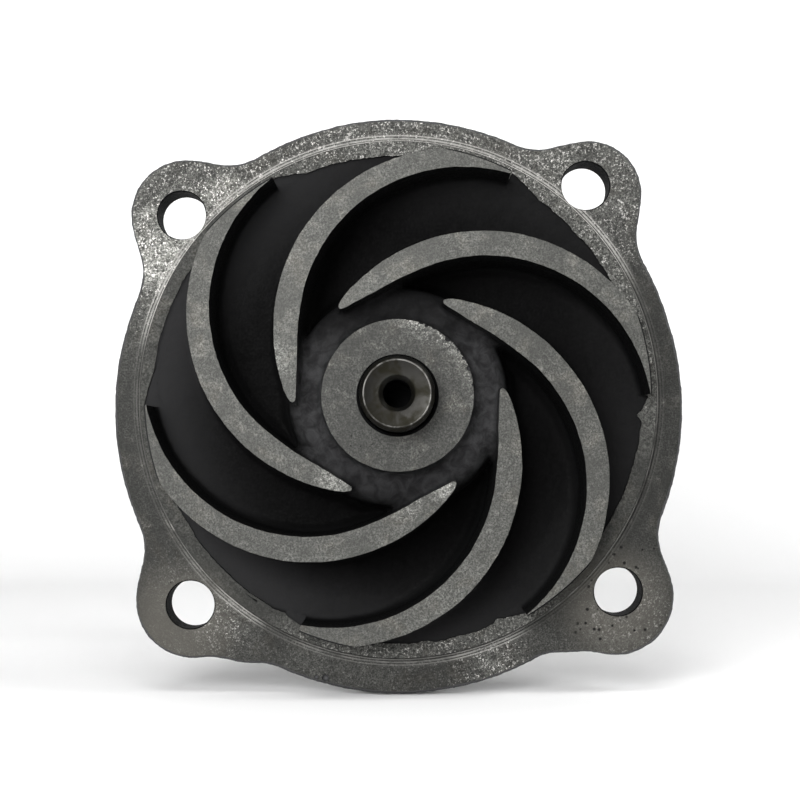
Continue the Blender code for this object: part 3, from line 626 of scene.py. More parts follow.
def cast_skin(name, tone, wall, rim=None, boss=None, sheen=0.08):
    """The dark skin left by the mould: sandy close up, darker on steep walls, partly as painted shade, lighter
    towards the rim as painted light, and with a lighter, mottled boss, darker at its top and bottom.
    """
    look = Look(name)
    sand = look.grain(0.55 * MM, 3.0, 0.6)
    lumps = look.grain(3.2 * MM, 3.0, 0.55)
    cloud = look.grain(13 * MM, 3.0, 0.6, 0.5)
    base = look.mix(look.ramp(cloud, 0.3, 0.7), bluish(tone * 0.7), bluish(tone * 1.4))
    # Painted light: lighter towards the rim, where the vanes shade the passages less, and on the left, towards the
    # light.
    if rim:
        painted_rim_light = look.mix(look.towards(-0.95, -0.3, -35 * MM, 45 * MM), bluish(rim * 0.4), bluish(rim * 1.15))
        base = look.mix(look.ramp(look.across(), 36 * MM, 57 * MM, 0.0, 0.95), base, painted_rim_light)
    base = look.mix(look.ramp(sand, 0.55, 0.8, 0.0, 0.3), base, bluish(tone * 2.2))
    # Steep walls take the wall tone; in the passages this is painted shade along the vane walls together with their
    # dark cast skin.
    walls = look.steepness(0.98, 0.5, 0.0, 1.0)
    if rim:
        walls = look.math("MULTIPLY", walls, look.ramp(look.across(), 56.4 * MM, 55.4 * MM))
    base = look.mix(walls, base, bluish(wall))
    if boss:
        mottle = look.grain(2.6 * MM, 4.0, 0.65, 0.6)
        worn = look.mix(look.ramp(mottle, 0.3, 0.7), bluish(boss * 0.5), bluish(boss * 1.45))
        # The boss is darker towards the top and the bottom.
        below = look.math("MULTIPLY", look.towards(0.0, -1.0, 8 * MM, 22 * MM), 0.5)
        darker_top_and_bottom = look.math("MAXIMUM", look.towards(-0.1, 0.99, 6 * MM, 20 * MM), below)
        worn = look.mix(look.math("MULTIPLY", darker_top_and_bottom, 0.85), worn, bluish(boss * 0.12))
        base = look.mix(look.ramp(look.across(), 26 * MM, 21.5 * MM), base, worn)
    roughness = look.ramp(sand, 0.3, 0.7, 0.75, 0.55)
    normal = look.relief(sand, 0.07 * MM, 0.6)
    normal = look.relief(lumps, 0.25 * MM, 0.45, normal)
    return look.finish(base, roughness, 0.0, normal, Specular_IOR_Level=sheen)


def oiled_steel(name, tone, film, roughness=0.22, pitch=0.12 * MM):
    """Turned or ground steel under a thin film of old oil."""
    look = Look(name)
    rings = look.turning(pitch)
    blot = look.grain(3.5 * MM, 3.0, 0.6, 0.8)
    dust = look.grain(0.3 * MM, 2.0, 0.6)
    clean = (tone, tone * 0.98, tone * 0.93)
    base = look.mix(look.ramp(blot, 0.35, 0.68, 0.25, 1.0), clean, film)
    base = look.mix(look.ramp(rings, 0.35, 0.75, 0.0, 0.4), base, (tone * 0.5, tone * 0.5, tone * 0.47))
    rough = look.ramp(blot, 0.3, 0.7, roughness, roughness + 0.2)
    normal = look.relief(rings, 0.02 * MM, 0.5)
    normal = look.relief(dust, 0.02 * MM, 0.35, normal)
    return look.finish(base, rough, 0.95, normal)


def polished_steel():
    look = Look("polished_steel")
    haze = look.grain(2.2 * MM, 3.0, 0.6)
    scratch = look.turning(0.09 * MM)
    base = look.mix(look.ramp(haze, 0.35, 0.7), (0.62, 0.62, 0.63), (0.48, 0.48, 0.5))
    rough = look.ramp(haze, 0.3, 0.7, 0.08, 0.2)
    return look.finish(base, rough, 1.0, look.relief(scratch, 0.006 * MM, 0.4))


def moulded(name, light, dark, roughness, grain_size, specular=0.4):
    """Rubber, nylon or carbon: two close tones, a fine grain and faint moulding waves."""
    look = Look(name)
    fine = look.grain(grain_size, 3.0, 0.6)
    broad = look.grain(grain_size * 14, 3.0, 0.55, 0.3)
    base = look.mix(look.ramp(broad, 0.3, 0.7), dark, light)
    base = look.mix(look.ramp(fine, 0.6, 0.8, 0.0, 0.3), base, tuple(min(1.0, 1.7 * c) for c in light))
    rough = look.ramp(fine, 0.3, 0.7, roughness - 0.08, roughness + 0.1)
    normal = look.relief(fine, grain_size * 0.12, 0.5)
    return look.finish(base, rough, 0.0, normal, Specular_IOR_Level=specular)


def pressed_brass():
    look = Look("pressed_brass")
    drawn = look.turning(0.25 * MM)
    tarnish = look.grain(4.5 * MM, 4.0, 0.6, 0.6)
    base = look.mix(look.ramp(tarnish, 0.35, 0.7), (0.72, 0.52, 0.22), (0.36, 0.22, 0.09))
    rough = look.ramp(tarnish, 0.3, 0.7, 0.22, 0.46)
    return look.finish(base, rough, 1.0, look.relief(drawn, 0.02 * MM, 0.4))


def ceramic():
    look = Look("ceramic")
    cloud = look.grain(5 * MM, 3.0, 0.5)
    fleck = look.grain(0.35 * MM, 2.0, 0.5)
    base = look.mix(look.ramp(cloud, 0.3, 0.7), (0.78, 0.76, 0.69), (0.66, 0.63, 0.55))
    base = look.mix(look.ramp(fleck, 0.68, 0.76, 0.0, 0.4), base, (0.32, 0.29, 0.25))
    return look.finish(base, look.ramp(cloud, 0.3, 0.7, 0.14, 0.28), 0.0, look.relief(fleck, 0.01 * MM, 0.3))


# ---------------------------------------------------------------- housing


def rib_blank(angle):
    """One casting rib from the neck towards an ear, as a drafted wedge."""
    inward, half = NECK_RADIUS - 6 * MM, RIB_THICKNESS / 2
    side_view = [
        (inward, FLANGE_THICKNESS - 3 * MM),
        (RIB_REACH, FLANGE_THICKNESS - 3 * MM),
        (RIB_REACH, FLANGE_THICKNESS + 1 * MM),
        (NECK_RADIUS, RIB_END),
        (inward, RIB_END),
    ]
    c, s = math.cos(angle), math.sin(angle)
    vertices = []
    for side in (-1, 1):
        for along, y in side_view:
            draft = 0.9 * MM * (RIB_END - y) / RIB_END
            across = side * (half - 0.5 * MM + draft)
            vertices.append((along * c - across * s, FACE_Y + y, along * s + across * c))
    count = len(side_view)
    faces = [tuple(range(count)), tuple(range(count, 2 * count))]
    for i in range(count):
        j = (i + 1) % count
        faces.append((i, j, count + j, count + i))
    return mesh_object("rib", vertices, faces)


def neck_blank():
    flare = []
    for i in range(24):
        y = FLANGE_THICKNESS + 1.2 * MM + 34 * MM * (i / 23) ** 1.6
        flare.append((NECK_RADIUS + NECK_FLARE * math.exp(-(y - FLANGE_THICKNESS) / NECK_FLARE_LENGTH), y))
    profile = [(0.0, 1.0 * MM), (48.0 * MM, 1.0 * MM), (48.0 * MM, FLANGE_THICKNESS - 1.0 * MM)]
    profile += flare + [(NECK_RADIUS, NECK_END + 1.5 * MM), (0.0, NECK_END + 1.5 * MM)]
    return revolved("neck", profile, 120)


def flange_blank():
    """The flange before facing: front left 1.5 mm proud, edge drafted, back corner rounded."""
    angles = [math.tau * i / 720 for i in range(720)]
    reach = np.array([flange_reach(a) for a in angles])
    turn = np.array(angles)
    sections = []
    back = FLANGE_THICKNESS
    for y, inset in (
        (-1.5 * MM, 1.5 * MM),
        (-0.2 * MM, 0.95 * MM),
        (0.25 * MM, 0.2 * MM),
        (0.8 * MM, -0.2 * MM),
        (1.6 * MM, -0.3 * MM),
        (back - 1.2 * MM, 0.1 * MM),
        (back - 0.4 * MM, 0.5 * MM),
        (back, 1.3 * MM),
    ):
        edge = np.stack([(reach - inset) * np.cos(turn), (reach - inset) * np.sin(turn)], axis=1)
        sections.append((y, edge))
    return lofted("flange", sections)


def bolt_places():
    """Centres (x, z) of the four bolt holes, from the openings the record states."""
    places = []
    for opening in frame["record"]["physics"]["openings"]:
        low, high = opening["box_m"]
        places.append(((low[0] + high[0]) / 2, (low[2] + high[2]) / 2))
    return places


def housing_front_cutter():
    """Everything the lathe takes from the front: face, recess, seal bore, chamber and bearing bore."""
    break_edge = 0.2 * MM
    recess, deep = RECESS_RADIUS, RECESS_DEPTH
    corners = [
        (0.0, -6 * MM, 0),
        (90 * MM, -6 * MM, 0),
        (90 * MM, 0.0, 0),
        (recess + 0.75 * MM, 0.0, 0),
        (recess + 0.68 * MM, 0.05 * MM, 0),
        (recess + 0.57 * MM, 0.05 * MM, 0),
        (recess + 0.5 * MM, 0.0, 0),
        (recess + break_edge, 0.0, 0),
        (recess, break_edge, 0),
        (recess, deep, 0.5 * MM),
        (SEAL_BORE_RADIUS + 3.6 * MM, deep, 0),
        (SEAL_BORE_RADIUS + 3.0 * MM, deep + 0.5 * MM, 0),
        (SEAL_BORE_RADIUS + 3.0 * MM, 4.0 * MM, 0.2 * MM),
        (SEAL_BORE_RADIUS + 0.4 * MM, 4.0 * MM, 0),
        (SEAL_BORE_RADIUS, 4.4 * MM, 0),
        (SEAL_BORE_RADIUS, SEAL_BORE_END, 0.4 * MM),
        (CHAMBER_RADIUS, SEAL_BORE_END, 0),
        (CHAMBER_RADIUS, CHAMBER_END, 0),
        (BEARING_BORE_RADIUS, CHAMBER_END, 0.3 * MM),
        (BEARING_BORE_RADIUS, 61.3 * MM, 0),
        (16.7 * MM, 61.3 * MM, 0),
        (16.7 * MM, 62.7 * MM, 0),
        (BEARING_BORE_RADIUS, 62.7 * MM, 0),
        (BEARING_BORE_RADIUS, NECK_END - 0.6 * MM, 0),
        (BEARING_BORE_RADIUS + 0.6 * MM, NECK_END, 0),
        (NECK_RADIUS + 0.5 * MM, NECK_END, 0),
        (NECK_RADIUS + 4 * MM, NECK_END + 0.01 * MM, 0),
        (NECK_RADIUS + 4 * MM, NECK_END + 6 * MM, 0),
        (0.0, NECK_END + 6 * MM, 0),
    ]
    return revolved("lathe", rounded(corners), 360)


def drilled(place, radius, front, back, chamfer):
    """Cutter for a drilled hole with a broken edge at both mouths."""
    x, z = place
    sections = []
    for y, r in (
        (front - 2 * MM, radius + chamfer + 2 * MM),
        (front + chamfer, radius),
        (back - chamfer, radius),
        (back + 2 * MM, radius + chamfer + 2 * MM),
    ):
        sections.append((y, arc((x, z), r, 0, 360 * 95 / 96, 96)))
    return lofted("drill", sections)


def build_housing():
    blank = [flange_blank(), neck_blank()]
    for (x, z), _ in EARS:
        blank.append(rib_blank(math.atan2(z, x)))
    for x, z in bolt_places():
        blank.append(extruded("boss", arc((x, z), 9.6 * MM, 0, 354, 60), 3 * MM, FLANGE_THICKNESS + 1.0 * MM))
    body = remeshed(joined(blank), HOUSING_VOXEL, 5)
    body.name = "pump_housing"
    roughened(body, ((9 * MM, 0.1 * MM), (2.1 * MM, 0.08 * MM), (0.9 * MM, 0.1 * MM)), 11.3)
    for angle, radius, size in NICKS:
        x, z = radius * math.cos(math.radians(angle)), radius * math.sin(math.radians(angle))
        boolean(body, ball_mesh("nick", size, Vector((x, FACE_Y, z)), 3), "DIFFERENCE")
    boolean(body, housing_front_cutter(), "DIFFERENCE")
    for place in bolt_places():
        spot = arc(place, 8.6 * MM, 0, 360 * 71 / 72, 72)
        boolean(body, extruded("spot_face", spot, FLANGE_THICKNESS, FLANGE_THICKNESS + 4 * MM), "DIFFERENCE")
        boolean(body, drilled(place, BOLT_HOLE_RADIUS, 0.0, FLANGE_THICKNESS, 0.25 * MM), "DIFFERENCE")
    down, up = (0, WEEP_Y, -30 * MM), (0, WEEP_Y, 30 * MM)
    boolean(body, rod("weep", WEEP_RADIUS, (0, WEEP_Y, -8 * MM), down), "DIFFERENCE")
    boolean(body, rod("vent", VENT_RADIUS, (0, WEEP_Y, 8 * MM), up), "DIFFERENCE")
    shaded(body, 34)
    holes = bolt_places()

    def surface(centre, normal):
        y = centre.y - FACE_Y
        radius = math.hypot(centre.x, centre.z)
        if y < 0.02 * MM or radius < RECESS_RADIUS + 3 * MM and 0.0 < y < 0.2 * MM:
            return 1
        if radius < RECESS_RADIUS + 0.02 * MM and y < RECESS_DEPTH + 0.02 * MM:
            return 2
        if radius < SEAL_BORE_RADIUS + 3.2 * MM and (y < CHAMBER_END or radius < 16.8 * MM):
            return 2
        if y > NECK_END - 0.05 * MM:
            return 4
        for x, z in holes:
            away = math.hypot(centre.x - x, centre.z - z)
            if away < 8.7 * MM and abs(y - FLANGE_THICKNESS) < 0.03 * MM and normal.y > 0.99:
                return 4
            # The bolt holes get the near-black painted shade.
            if away < BOLT_HOLE_RADIUS + 0.3 * MM:
                return 3
        return 0

    painted(body, SKIN, FLANGE_FACE, TURNED_IRON, SHADED_BORE, SPOT_FACE, choose=surface)
    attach(body, "housing")
    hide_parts("housing")
    return body


# ---------------------------------------------------------------- impeller


def floor_y(radius):
    """Front of the disc between the vanes."""
    if radius < 45 * MM:
        return -1.0 * MM - 0.3 * MM * max(0.0, radius - 26 * MM) / (19 * MM)
    return -1.3 * MM - 1.1 * MM * (radius - 45 * MM) / (10 * MM)


def band_edge():
    """Ring that carries the turned band inwards past the vane tips, to a ragged cast edge."""
    top, outside = RIM_FRONT + 0.004 * MM, VANE_TIP_RADIUS + 1.0 * MM
    low = RIM_FRONT + 1.2 * MM
    ring = revolved("band", [(BAND_INSIDE, top), (outside, top), (outside, low), (BAND_INSIDE - 0.2 * MM, low)], 720)
    for vertex in ring.data.vertices:
        radius = math.hypot(vertex.co.x, vertex.co.z)
        if radius < VANE_TIP_RADIUS:
            place = vertex.co / radius
            shift = 0.35 * MM * noise.noise(14 * place) + 0.2 * MM * noise.noise(60 * place)
            shift += WIDER_PASSAGE * max(0.0, 0.34 * place.z - 0.94 * place.x) ** 3
            for angle, width, size in BURRS:
                away = (math.degrees(math.atan2(place.z, place.x)) - angle + 180) % 360 - 180
                shift -= size * math.exp(-((away / width) ** 2))
            vertex.co.x *= 1 + shift / radius
            vertex.co.z *= 1 + shift / radius
    return ring


def tip_ends():
    """Cutter for the thin end of each vane's tip, down to the turned band."""
    ends = []
    for _, end, _ in TIP_NOTCHES:
        corners = []
        for radius, angle in ((52.5, end - 12), (52.5, end), (58.0, end), (58.0, end - 12)):
            angle = math.radians(angle)
            corners.append((radius * MM * math.cos(angle), radius * MM * math.sin(angle)))
        ends.append(extruded("end", corners, EYE_FRONT - 3 * MM, RIM_FRONT))
    return joined(ends)


def tip_notches():
    """Cutter for the ramps in the rim band that run out at each vane's tip."""
    floor, inside = -2.5 * MM, 52.5 * MM
    notches = []
    for start, end, reach in TIP_NOTCHES:
        outline = []
        for step in range(25):
            share = step / 24
            angle = math.radians(start + (end - start) * share)
            radius = BAND_INSIDE - 0.4 * MM + (reach * MM - BAND_INSIDE + 0.4 * MM) * share**0.8
            radius += 0.25 * MM * noise.noise(Vector((70 * math.cos(angle), 70 * math.sin(angle), 3.0)))
            outline.append((radius * math.cos(angle), radius * math.sin(angle)))
        for angle in (math.radians(end), math.radians(start)):
            outline.append((inside * math.cos(angle), inside * math.sin(angle)))
        notches.append(extruded("notch", outline, RIM_FRONT - 0.5 * MM, floor))
    return joined(notches)


def disc_blank():
    """The cast disc with its hub boss and the shoulder round it; rim and hub face are left proud."""
    step = VANE_TIP_RADIUS + 0.3 * MM
    corners = [
        (0.0, HUB_FRONT - 1.5 * MM, 0),
        (HUB_RADIUS, HUB_FRONT - 1.5 * MM, 0.3 * MM),
        (HUB_RADIUS + 0.6 * MM, -17.6 * MM, 2.2 * MM),
        (21.6 * MM, -16.4 * MM, 3.0 * MM),
        (24.0 * MM, -14.6 * MM, 2.4 * MM),
        (25.2 * MM, floor_y(25 * MM), 3.0 * MM),
        (45 * MM, floor_y(45 * MM), 8 * MM),
        (step - 0.3 * MM, floor_y(step), 0.6 * MM),
        (step + 0.5 * MM, RIM_FRONT - 1.2 * MM, 0),
        (RIM_RADIUS + 1.5 * MM, RIM_FRONT - 1.2 * MM, 0),
        (RIM_RADIUS + 1.5 * MM, DISC_BACK + 1.5 * MM, 0),
        (0.0, DISC_BACK + 1.5 * MM, 0),
    ]
    return revolved("disc", rounded(corners), 360)


def vane_blank(index):
    """One vane, left tall: its sides lean out a little and run into the floor with a fillet."""
    fillet, floor = 2.6 * MM, -1.1 * MM
    top = EYE_FRONT - 2 * MM
    levels = [top, -18 * MM, -12 * MM, -8 * MM, -6 * MM, floor - fillet]
    levels += [floor - fillet * (1 - math.sin(math.radians(a))) for a in (20, 40, 60, 80)]
    levels.append(floor + 1.5 * MM)
    outline = vane_outline()
    turn = math.tau * index / VANE_COUNT
    c, s = math.cos(turn), math.sin(turn)
    sections = []
    for y in levels:
        above = max(0.0, floor - y)
        spread = 0.028 * (y - top) - 0.3 * MM
        if above < fillet:
            spread += fillet - math.sqrt(max(0.0, fillet**2 - (fillet - above) ** 2))
        points = grown(outline, spread)
        sections.append((y, [(c * x - s * z, s * x + c * z) for x, z in points]))
    return lofted("vane", sections)


def impeller_envelope():
    """What the lathe leaves: vane cone, hub face, rim face, outside and back, and clear of the passages."""
    slope = (TIP_FRONT - EYE_FRONT) / (VANE_TIP_RADIUS - EYE_RADIUS)
    corners = [
        (0.0, HUB_FRONT),
        (HUB_RADIUS + 1.6 * MM, HUB_FRONT),
        (HUB_RADIUS + 1.9 * MM, EYE_FRONT),
        (EYE_RADIUS, EYE_FRONT),
        (VANE_TIP_RADIUS - 0.35 * MM, TIP_FRONT - slope * 0.35 * MM),
        (VANE_TIP_RADIUS, TIP_FRONT + 0.35 * MM),
        (VANE_TIP_RADIUS, RIM_FRONT),
        (RIM_RADIUS - 0.15 * MM, RIM_FRONT),
        (RIM_RADIUS, RIM_FRONT + 0.15 * MM),
        (RIM_RADIUS, DISC_BACK - 0.3 * MM),
        (RIM_RADIUS - 0.3 * MM, DISC_BACK),
        (0.0, DISC_BACK),
    ]
    return revolved("envelope", corners, 360)


def impeller_bore():
    bore, mouth = SHAFT_RADIUS + 0.3 * MM, 0.6 * MM
    corners = [
        (0.0, HUB_FRONT - 2 * MM, 0),
        (bore + mouth + 2 * MM, HUB_FRONT - 2 * MM, 0),
        (bore + mouth, HUB_FRONT, 0),
        (bore, HUB_FRONT + mouth, 0),
        (bore, -5 * MM, 0),
        (15 * MM, -5 * MM, 0.5 * MM),
        (15 * MM, DISC_BACK - 0.4 * MM, 0),
        (15.4 * MM, DISC_BACK, 0),
        (15.4 * MM, DISC_BACK + 2 * MM, 0),
        (0.0, DISC_BACK + 2 * MM, 0),
    ]
    return revolved("bore", rounded(corners), 192)


def hub_chips():
    """Cutter for the crumbled part of the hub's edge: small balls strung along it."""
    chips = []
    for i, size in enumerate(CHIP_SIZES):
        angle = math.radians(8 + 5.2 * i + 2.4 * math.sin(7.0 * i))
        radius = HUB_RADIUS + (0.35 + 0.35 * math.sin(3.1 * i * i)) * MM
        x, z = radius * math.cos(angle), radius * math.sin(angle)
        chips.append(ball_mesh("chip", size, Vector((x, FACE_Y + HUB_FRONT - 0.1 * MM, z)), 2))
    return joined(chips)


def build_impeller():
    blank = [disc_blank()] + [vane_blank(i) for i in range(VANE_COUNT)]
    wheel = remeshed(joined(blank), IMPELLER_VOXEL, 4)
    wheel.name = "pump_impeller"
    roughened(wheel, ((7 * MM, 0.09 * MM), (1.9 * MM, 0.07 * MM), (0.8 * MM, 0.06 * MM)), 4.7)
    boolean(wheel, impeller_envelope(), "INTERSECT")
    boolean(wheel, band_edge(), "UNION")
    for cutter in (impeller_bore(), tip_ends(), tip_notches(), hub_chips()):
        boolean(wheel, cutter, "DIFFERENCE")
    shaded(wheel, 34)
    slope = (TIP_FRONT - EYE_FRONT) / (VANE_TIP_RADIUS - EYE_RADIUS)

    def surface(centre, normal):
        y = centre.y - FACE_Y
        radius = math.hypot(centre.x, centre.z)
        cone = EYE_FRONT + slope * max(0.0, radius - EYE_RADIUS)
        near = 0.03 * MM
        if abs(y - cone) < near and radius > 17 * MM and normal.y < -0.9:
            return 1
        if abs(y - HUB_FRONT) < near and radius < HUB_RADIUS + 2 * MM and normal.y < -0.9:
            return 4
        if radius > VANE_TIP_RADIUS - 3 * MM and abs(y - RIM_FRONT) < near and normal.y < -0.99:
            return 2
        # The bore and its mouth get the near-black painted shade.
        if radius < SHAFT_RADIUS + 2 * MM and y > HUB_FRONT:
            return 5
        if radius > VANE_TIP_RADIUS - near or y > DISC_BACK - near or radius < 15.5 * MM:
            return 3
        return 0

    looks = (PASSAGE_SKIN_AND_SHADE, VANE_FACE, RIM_FACE, TURNED_IRON, HUB_FACE, SHADED_BORE)
    painted(wheel, *looks, choose=surface)
    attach(wheel, "rotor")
    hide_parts("impeller")
    return wheel


# ---------------------------------------------------------------- shaft, hub and bearing


def groove(row_y, reach_radius, count=13):
    """Points of a ball groove in a cylinder, front edge to rear edge."""
    half_width = math.sqrt(GROOVE_RADIUS**2 - (BALL_PITCH_RADIUS - reach_radius) ** 2)
    side = 1 if reach_radius > BALL_PITCH_RADIUS else -1
    points = []
    for i in range(count):
        along = half_width * (2 * i / (count - 1) - 1)
        points.append((BALL_PITCH_RADIUS + side * math.sqrt(GROOVE_RADIUS**2 - along**2), row_y + along, 0))
    return points


def place_piece(piece, body, node, look, degrees=30):
    shaded(piece, degrees)
    painted(piece, look)
    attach(piece, body)
    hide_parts(node)
    return piece


def build_shaft():
    centre_hole, chamfer = 3.0 * MM, 0.7 * MM
    corners = [
        (0.0, SHAFT_FRONT + 14.7 * MM, 0),
        (centre_hole, SHAFT_FRONT + 13.0 * MM, 0),
        (centre_hole, SHAFT_FRONT + 0.9 * MM, 0.1 * MM),
        (centre_hole + 0.8 * MM, SHAFT_FRONT + 0.12 * MM, 0.1 * MM),
        (centre_hole + 1.0 * MM, SHAFT_FRONT + 0.05 * MM, 0.1 * MM),
        (SHAFT_RADIUS - chamfer - 0.35 * MM, SHAFT_FRONT + 0.05 * MM, 0),
        (SHAFT_RADIUS - chamfer - 0.2 * MM, SHAFT_FRONT, 0),
        (SHAFT_RADIUS - chamfer - 0.02 * MM, SHAFT_FRONT + 0.04 * MM, 0),
        (SHAFT_RADIUS, SHAFT_FRONT + 1.3 * chamfer, 0.25 * MM),
        *groove(ROW_Y["front"], SHAFT_RADIUS),
        *groove(ROW_Y["rear"], SHAFT_RADIUS),
        (SHAFT_RADIUS, SHAFT_END - chamfer, 0.2 * MM),
        (SHAFT_RADIUS - chamfer, SHAFT_END, 0.2 * MM),
        (0.0, SHAFT_END, 0),
    ]
    shaft = revolved("pump_shaft", rounded(corners), 192)
    shaded(shaft, 40)

    def surface(centre, normal):
        y = centre.y - FACE_Y
        radius = math.hypot(centre.x, centre.z)
        if y < SHAFT_FRONT + 0.045 * MM and radius > 6 * MM:
            return 2
        # The centre hole gets the near-black painted shade.
        if radius < centre_hole + 0.4 * MM:
            return 3
        if SHAFT_FRONT + 0.6 * MM < y < 10 * MM:
            return 4
        return 0 if y < -20 * MM or y > 63 * MM else 1

    painted(shaft, SHAFT_STEEL, POLISHED, BURNISHED, SHADED_BORE, OILY_STEEL, choose=surface)
    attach(shaft, "rotor")
    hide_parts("shaft")
    return shaft


def build_drive_hub():
    front, back = DRIVE_BOX[0].y - FACE_Y, DRIVE_BOX[1].y - FACE_Y
    bore, boss, pilot, reach = 8.3 * MM, 16.0 * MM, 20.0 * MM, DRIVE_BOX[1].x
    flange_front, flange_back = front + 8 * MM, back - 4 * MM
    corners = [
        (bore, front + 0.6 * MM, 0),
        (bore + 0.6 * MM, front, 0),
        (boss, front, 1.0 * MM),
        (boss + 0.3 * MM, flange_front, 2.4 * MM),
        (reach, flange_front, 0.9 * MM),
        (reach, flange_back, 0.9 * MM),
        (pilot + 1.6 * MM, flange_back, 0.2 * MM),
        (pilot + 1.4 * MM, flange_back - 0.4 * MM, 0.2 * MM),
        (pilot, flange_back - 0.4 * MM, 0.2 * MM),
        (pilot, back, 0.8 * MM),
        (bore + 0.8 * MM, back, 0),
        (bore, back - 0.8 * MM, 0),
    ]
    hub = revolved("pump_drive_hub", rounded(corners), 240)
    for i in range(4):
        angle = math.radians(45 + 90 * i)
        place = (32 * MM * math.cos(angle), 32 * MM * math.sin(angle))
        boolean(hub, drilled(place, 3.4 * MM, flange_front, flange_back, 0.5 * MM), "DIFFERENCE")
    return place_piece(hub, "rotor", "drive_hub", HUB_STEEL)


def build_bearing_ring():
    seat = 13.4 * MM
    corners = [
        (RING_OUTER_RADIUS, RING_START, 0.6 * MM),
        (RING_OUTER_RADIUS, RING_END, 0.6 * MM),
        (seat, RING_END, 0.2 * MM),
        (seat, RING_END - 2.3 * MM, 0.2 * MM),
        (RING_INNER_RADIUS, RING_END - 2.3 * MM, 0.2 * MM),
        *reversed(groove(ROW_Y["rear"], RING_INNER_RADIUS)),
        *reversed(groove(ROW_Y["front"], RING_INNER_RADIUS)),
        (RING_INNER_RADIUS, RING_START + 2.3 * MM, 0.2 * MM),
        (seat, RING_START + 2.3 * MM, 0.2 * MM),
        (seat, RING_START, 0.2 * MM),
    ]
    ring = revolved("bearing_race", rounded(corners), 160)
    return place_piece(ring, "housing", "bearing_outer_ring", POLISHED)


def build_bearing_seals():
    """Steel-backed lip seals: a bead in the ring's seat, a dished web and a lip on the shaft."""
    for end, face, inwards in (("front", RING_START + 0.3 * MM, 1), ("rear", RING_END - 0.3 * MM, -1)):
        seat, lip = 13.1 * MM, SHAFT_RADIUS + 0.25 * MM
        section = [
            (seat, 0.0, 0.3),
            (seat, 1.7, 0.3),
            (seat - 1.0 * MM, 1.7, 0.3),
            (seat - 1.3 * MM, 1.15, 0.2),
            (lip + 1.6 * MM, 1.15, 0.3),
            (lip + 0.4 * MM, 1.5, 0.15),
            (lip, 0.7, 0.1),
            (lip + 0.5 * MM, 0.1, 0.15),
            (lip + 1.4 * MM, 0.45, 0.3),
            (seat - 1.3 * MM, 0.45, 0.2),
            (seat - 1.0 * MM, 0.0, 0.2),
        ]
        corners = [(r, face + inwards * d * MM, f * MM) for r, d, f in section]
        seal = revolved(f"bearing_lip_{end}", rounded(corners), SMALL_STEPS)
        place_piece(seal, "housing", f"bearing_seal_{end}", RUBBER)


def ball_places(row):
    for i in range(BALLS_IN_ROW):
        angle = math.tau * i / BALLS_IN_ROW
        x, z = BALL_PITCH_RADIUS * math.cos(angle), BALL_PITCH_RADIUS * math.sin(angle)
        yield Vector((x, FACE_Y + ROW_Y[row], z))


def ball_mesh(name, radius, centre, subdivisions):
    work = bmesh.new()
    bmesh.ops.create_icosphere(work, subdivisions=subdivisions, radius=radius)
    bmesh.ops.translate(work, verts=work.verts, vec=centre)
    mesh = bpy.data.meshes.new(name)
    work.to_mesh(mesh)
    work.free()
    made = bpy.data.objects.new(name, mesh)
    bpy.context.scene.collection.objects.link(made)
    return made


def build_ball_row(row):
    """A snap cage with open pockets on one side, and its balls."""
    body = f"{row}_ball_row"
    side = 1 if row == "front" else -1
    y = ROW_Y[row]
    inner, outer = 9.2 * MM, 12.1 * MM
    corners = [
        (inner, y - side * 1.8 * MM, 0.3 * MM),
        (outer, y - side * 1.8 * MM, 0.3 * MM),
        (outer, y + side * 3.8 * MM, 0.4 * MM),
        (inner, y + side * 3.8 * MM, 0.4 * MM),
    ]
    cage = revolved(f"ball_cage_{row}", rounded(corners), 128)
    pockets = [ball_mesh("pocket", BALL_RADIUS + 0.16 * MM, place, 4) for place in ball_places(row)]
    boolean(cage, joined(pockets), "DIFFERENCE")
    place_piece(cage, body, f"cage_{row}", NYLON)
    for i, place in enumerate(ball_places(row)):
        piece = ball_mesh(f"ball_{row}_{i + 1}", BALL_RADIUS, place, 4)
        place_piece(piece, body, f"bearing_ball_{row}_{i + 1}", POLISHED, 180)


def build_clip():
    """The snap ring that keeps the bearing in its bore, with two drilled lugs at the gap."""
    outer, inner, lug = 16.4 * MM, 14.3 * MM, 12.6 * MM
    gap, reach = 14.0, 28.0
    outline = arc((0, 0), outer, 90 + gap, 450 - gap, 180)
    outline += arc((0, 0), lug, 90 - gap, 90 - reach, 16)
    outline += arc((0, 0), inner, 90 - reach - 4, -270 + reach + 4, 160)
    outline += arc((0, 0), lug, -270 + reach, -270 + gap, 16)
    front, back, edge = 61.45 * MM, 62.55 * MM, 0.12 * MM
    sections = [
        (front, grown(outline, -edge)),
        (front + edge, outline),
        (back - edge, outline),
        (back, grown(outline, -edge)),
    ]
    clip = lofted("snap_ring", sections)
    for side in (-1, 1):
        angle = math.radians(90 + side * 20)
        place = (14.1 * MM * math.cos(angle), 14.1 * MM * math.sin(angle))
        boolean(clip, drilled(place, 0.8 * MM, front, back, 0.05 * MM), "DIFFERENCE")
    place_piece(clip, "housing", "bearing_clip", SPRING_STEEL)


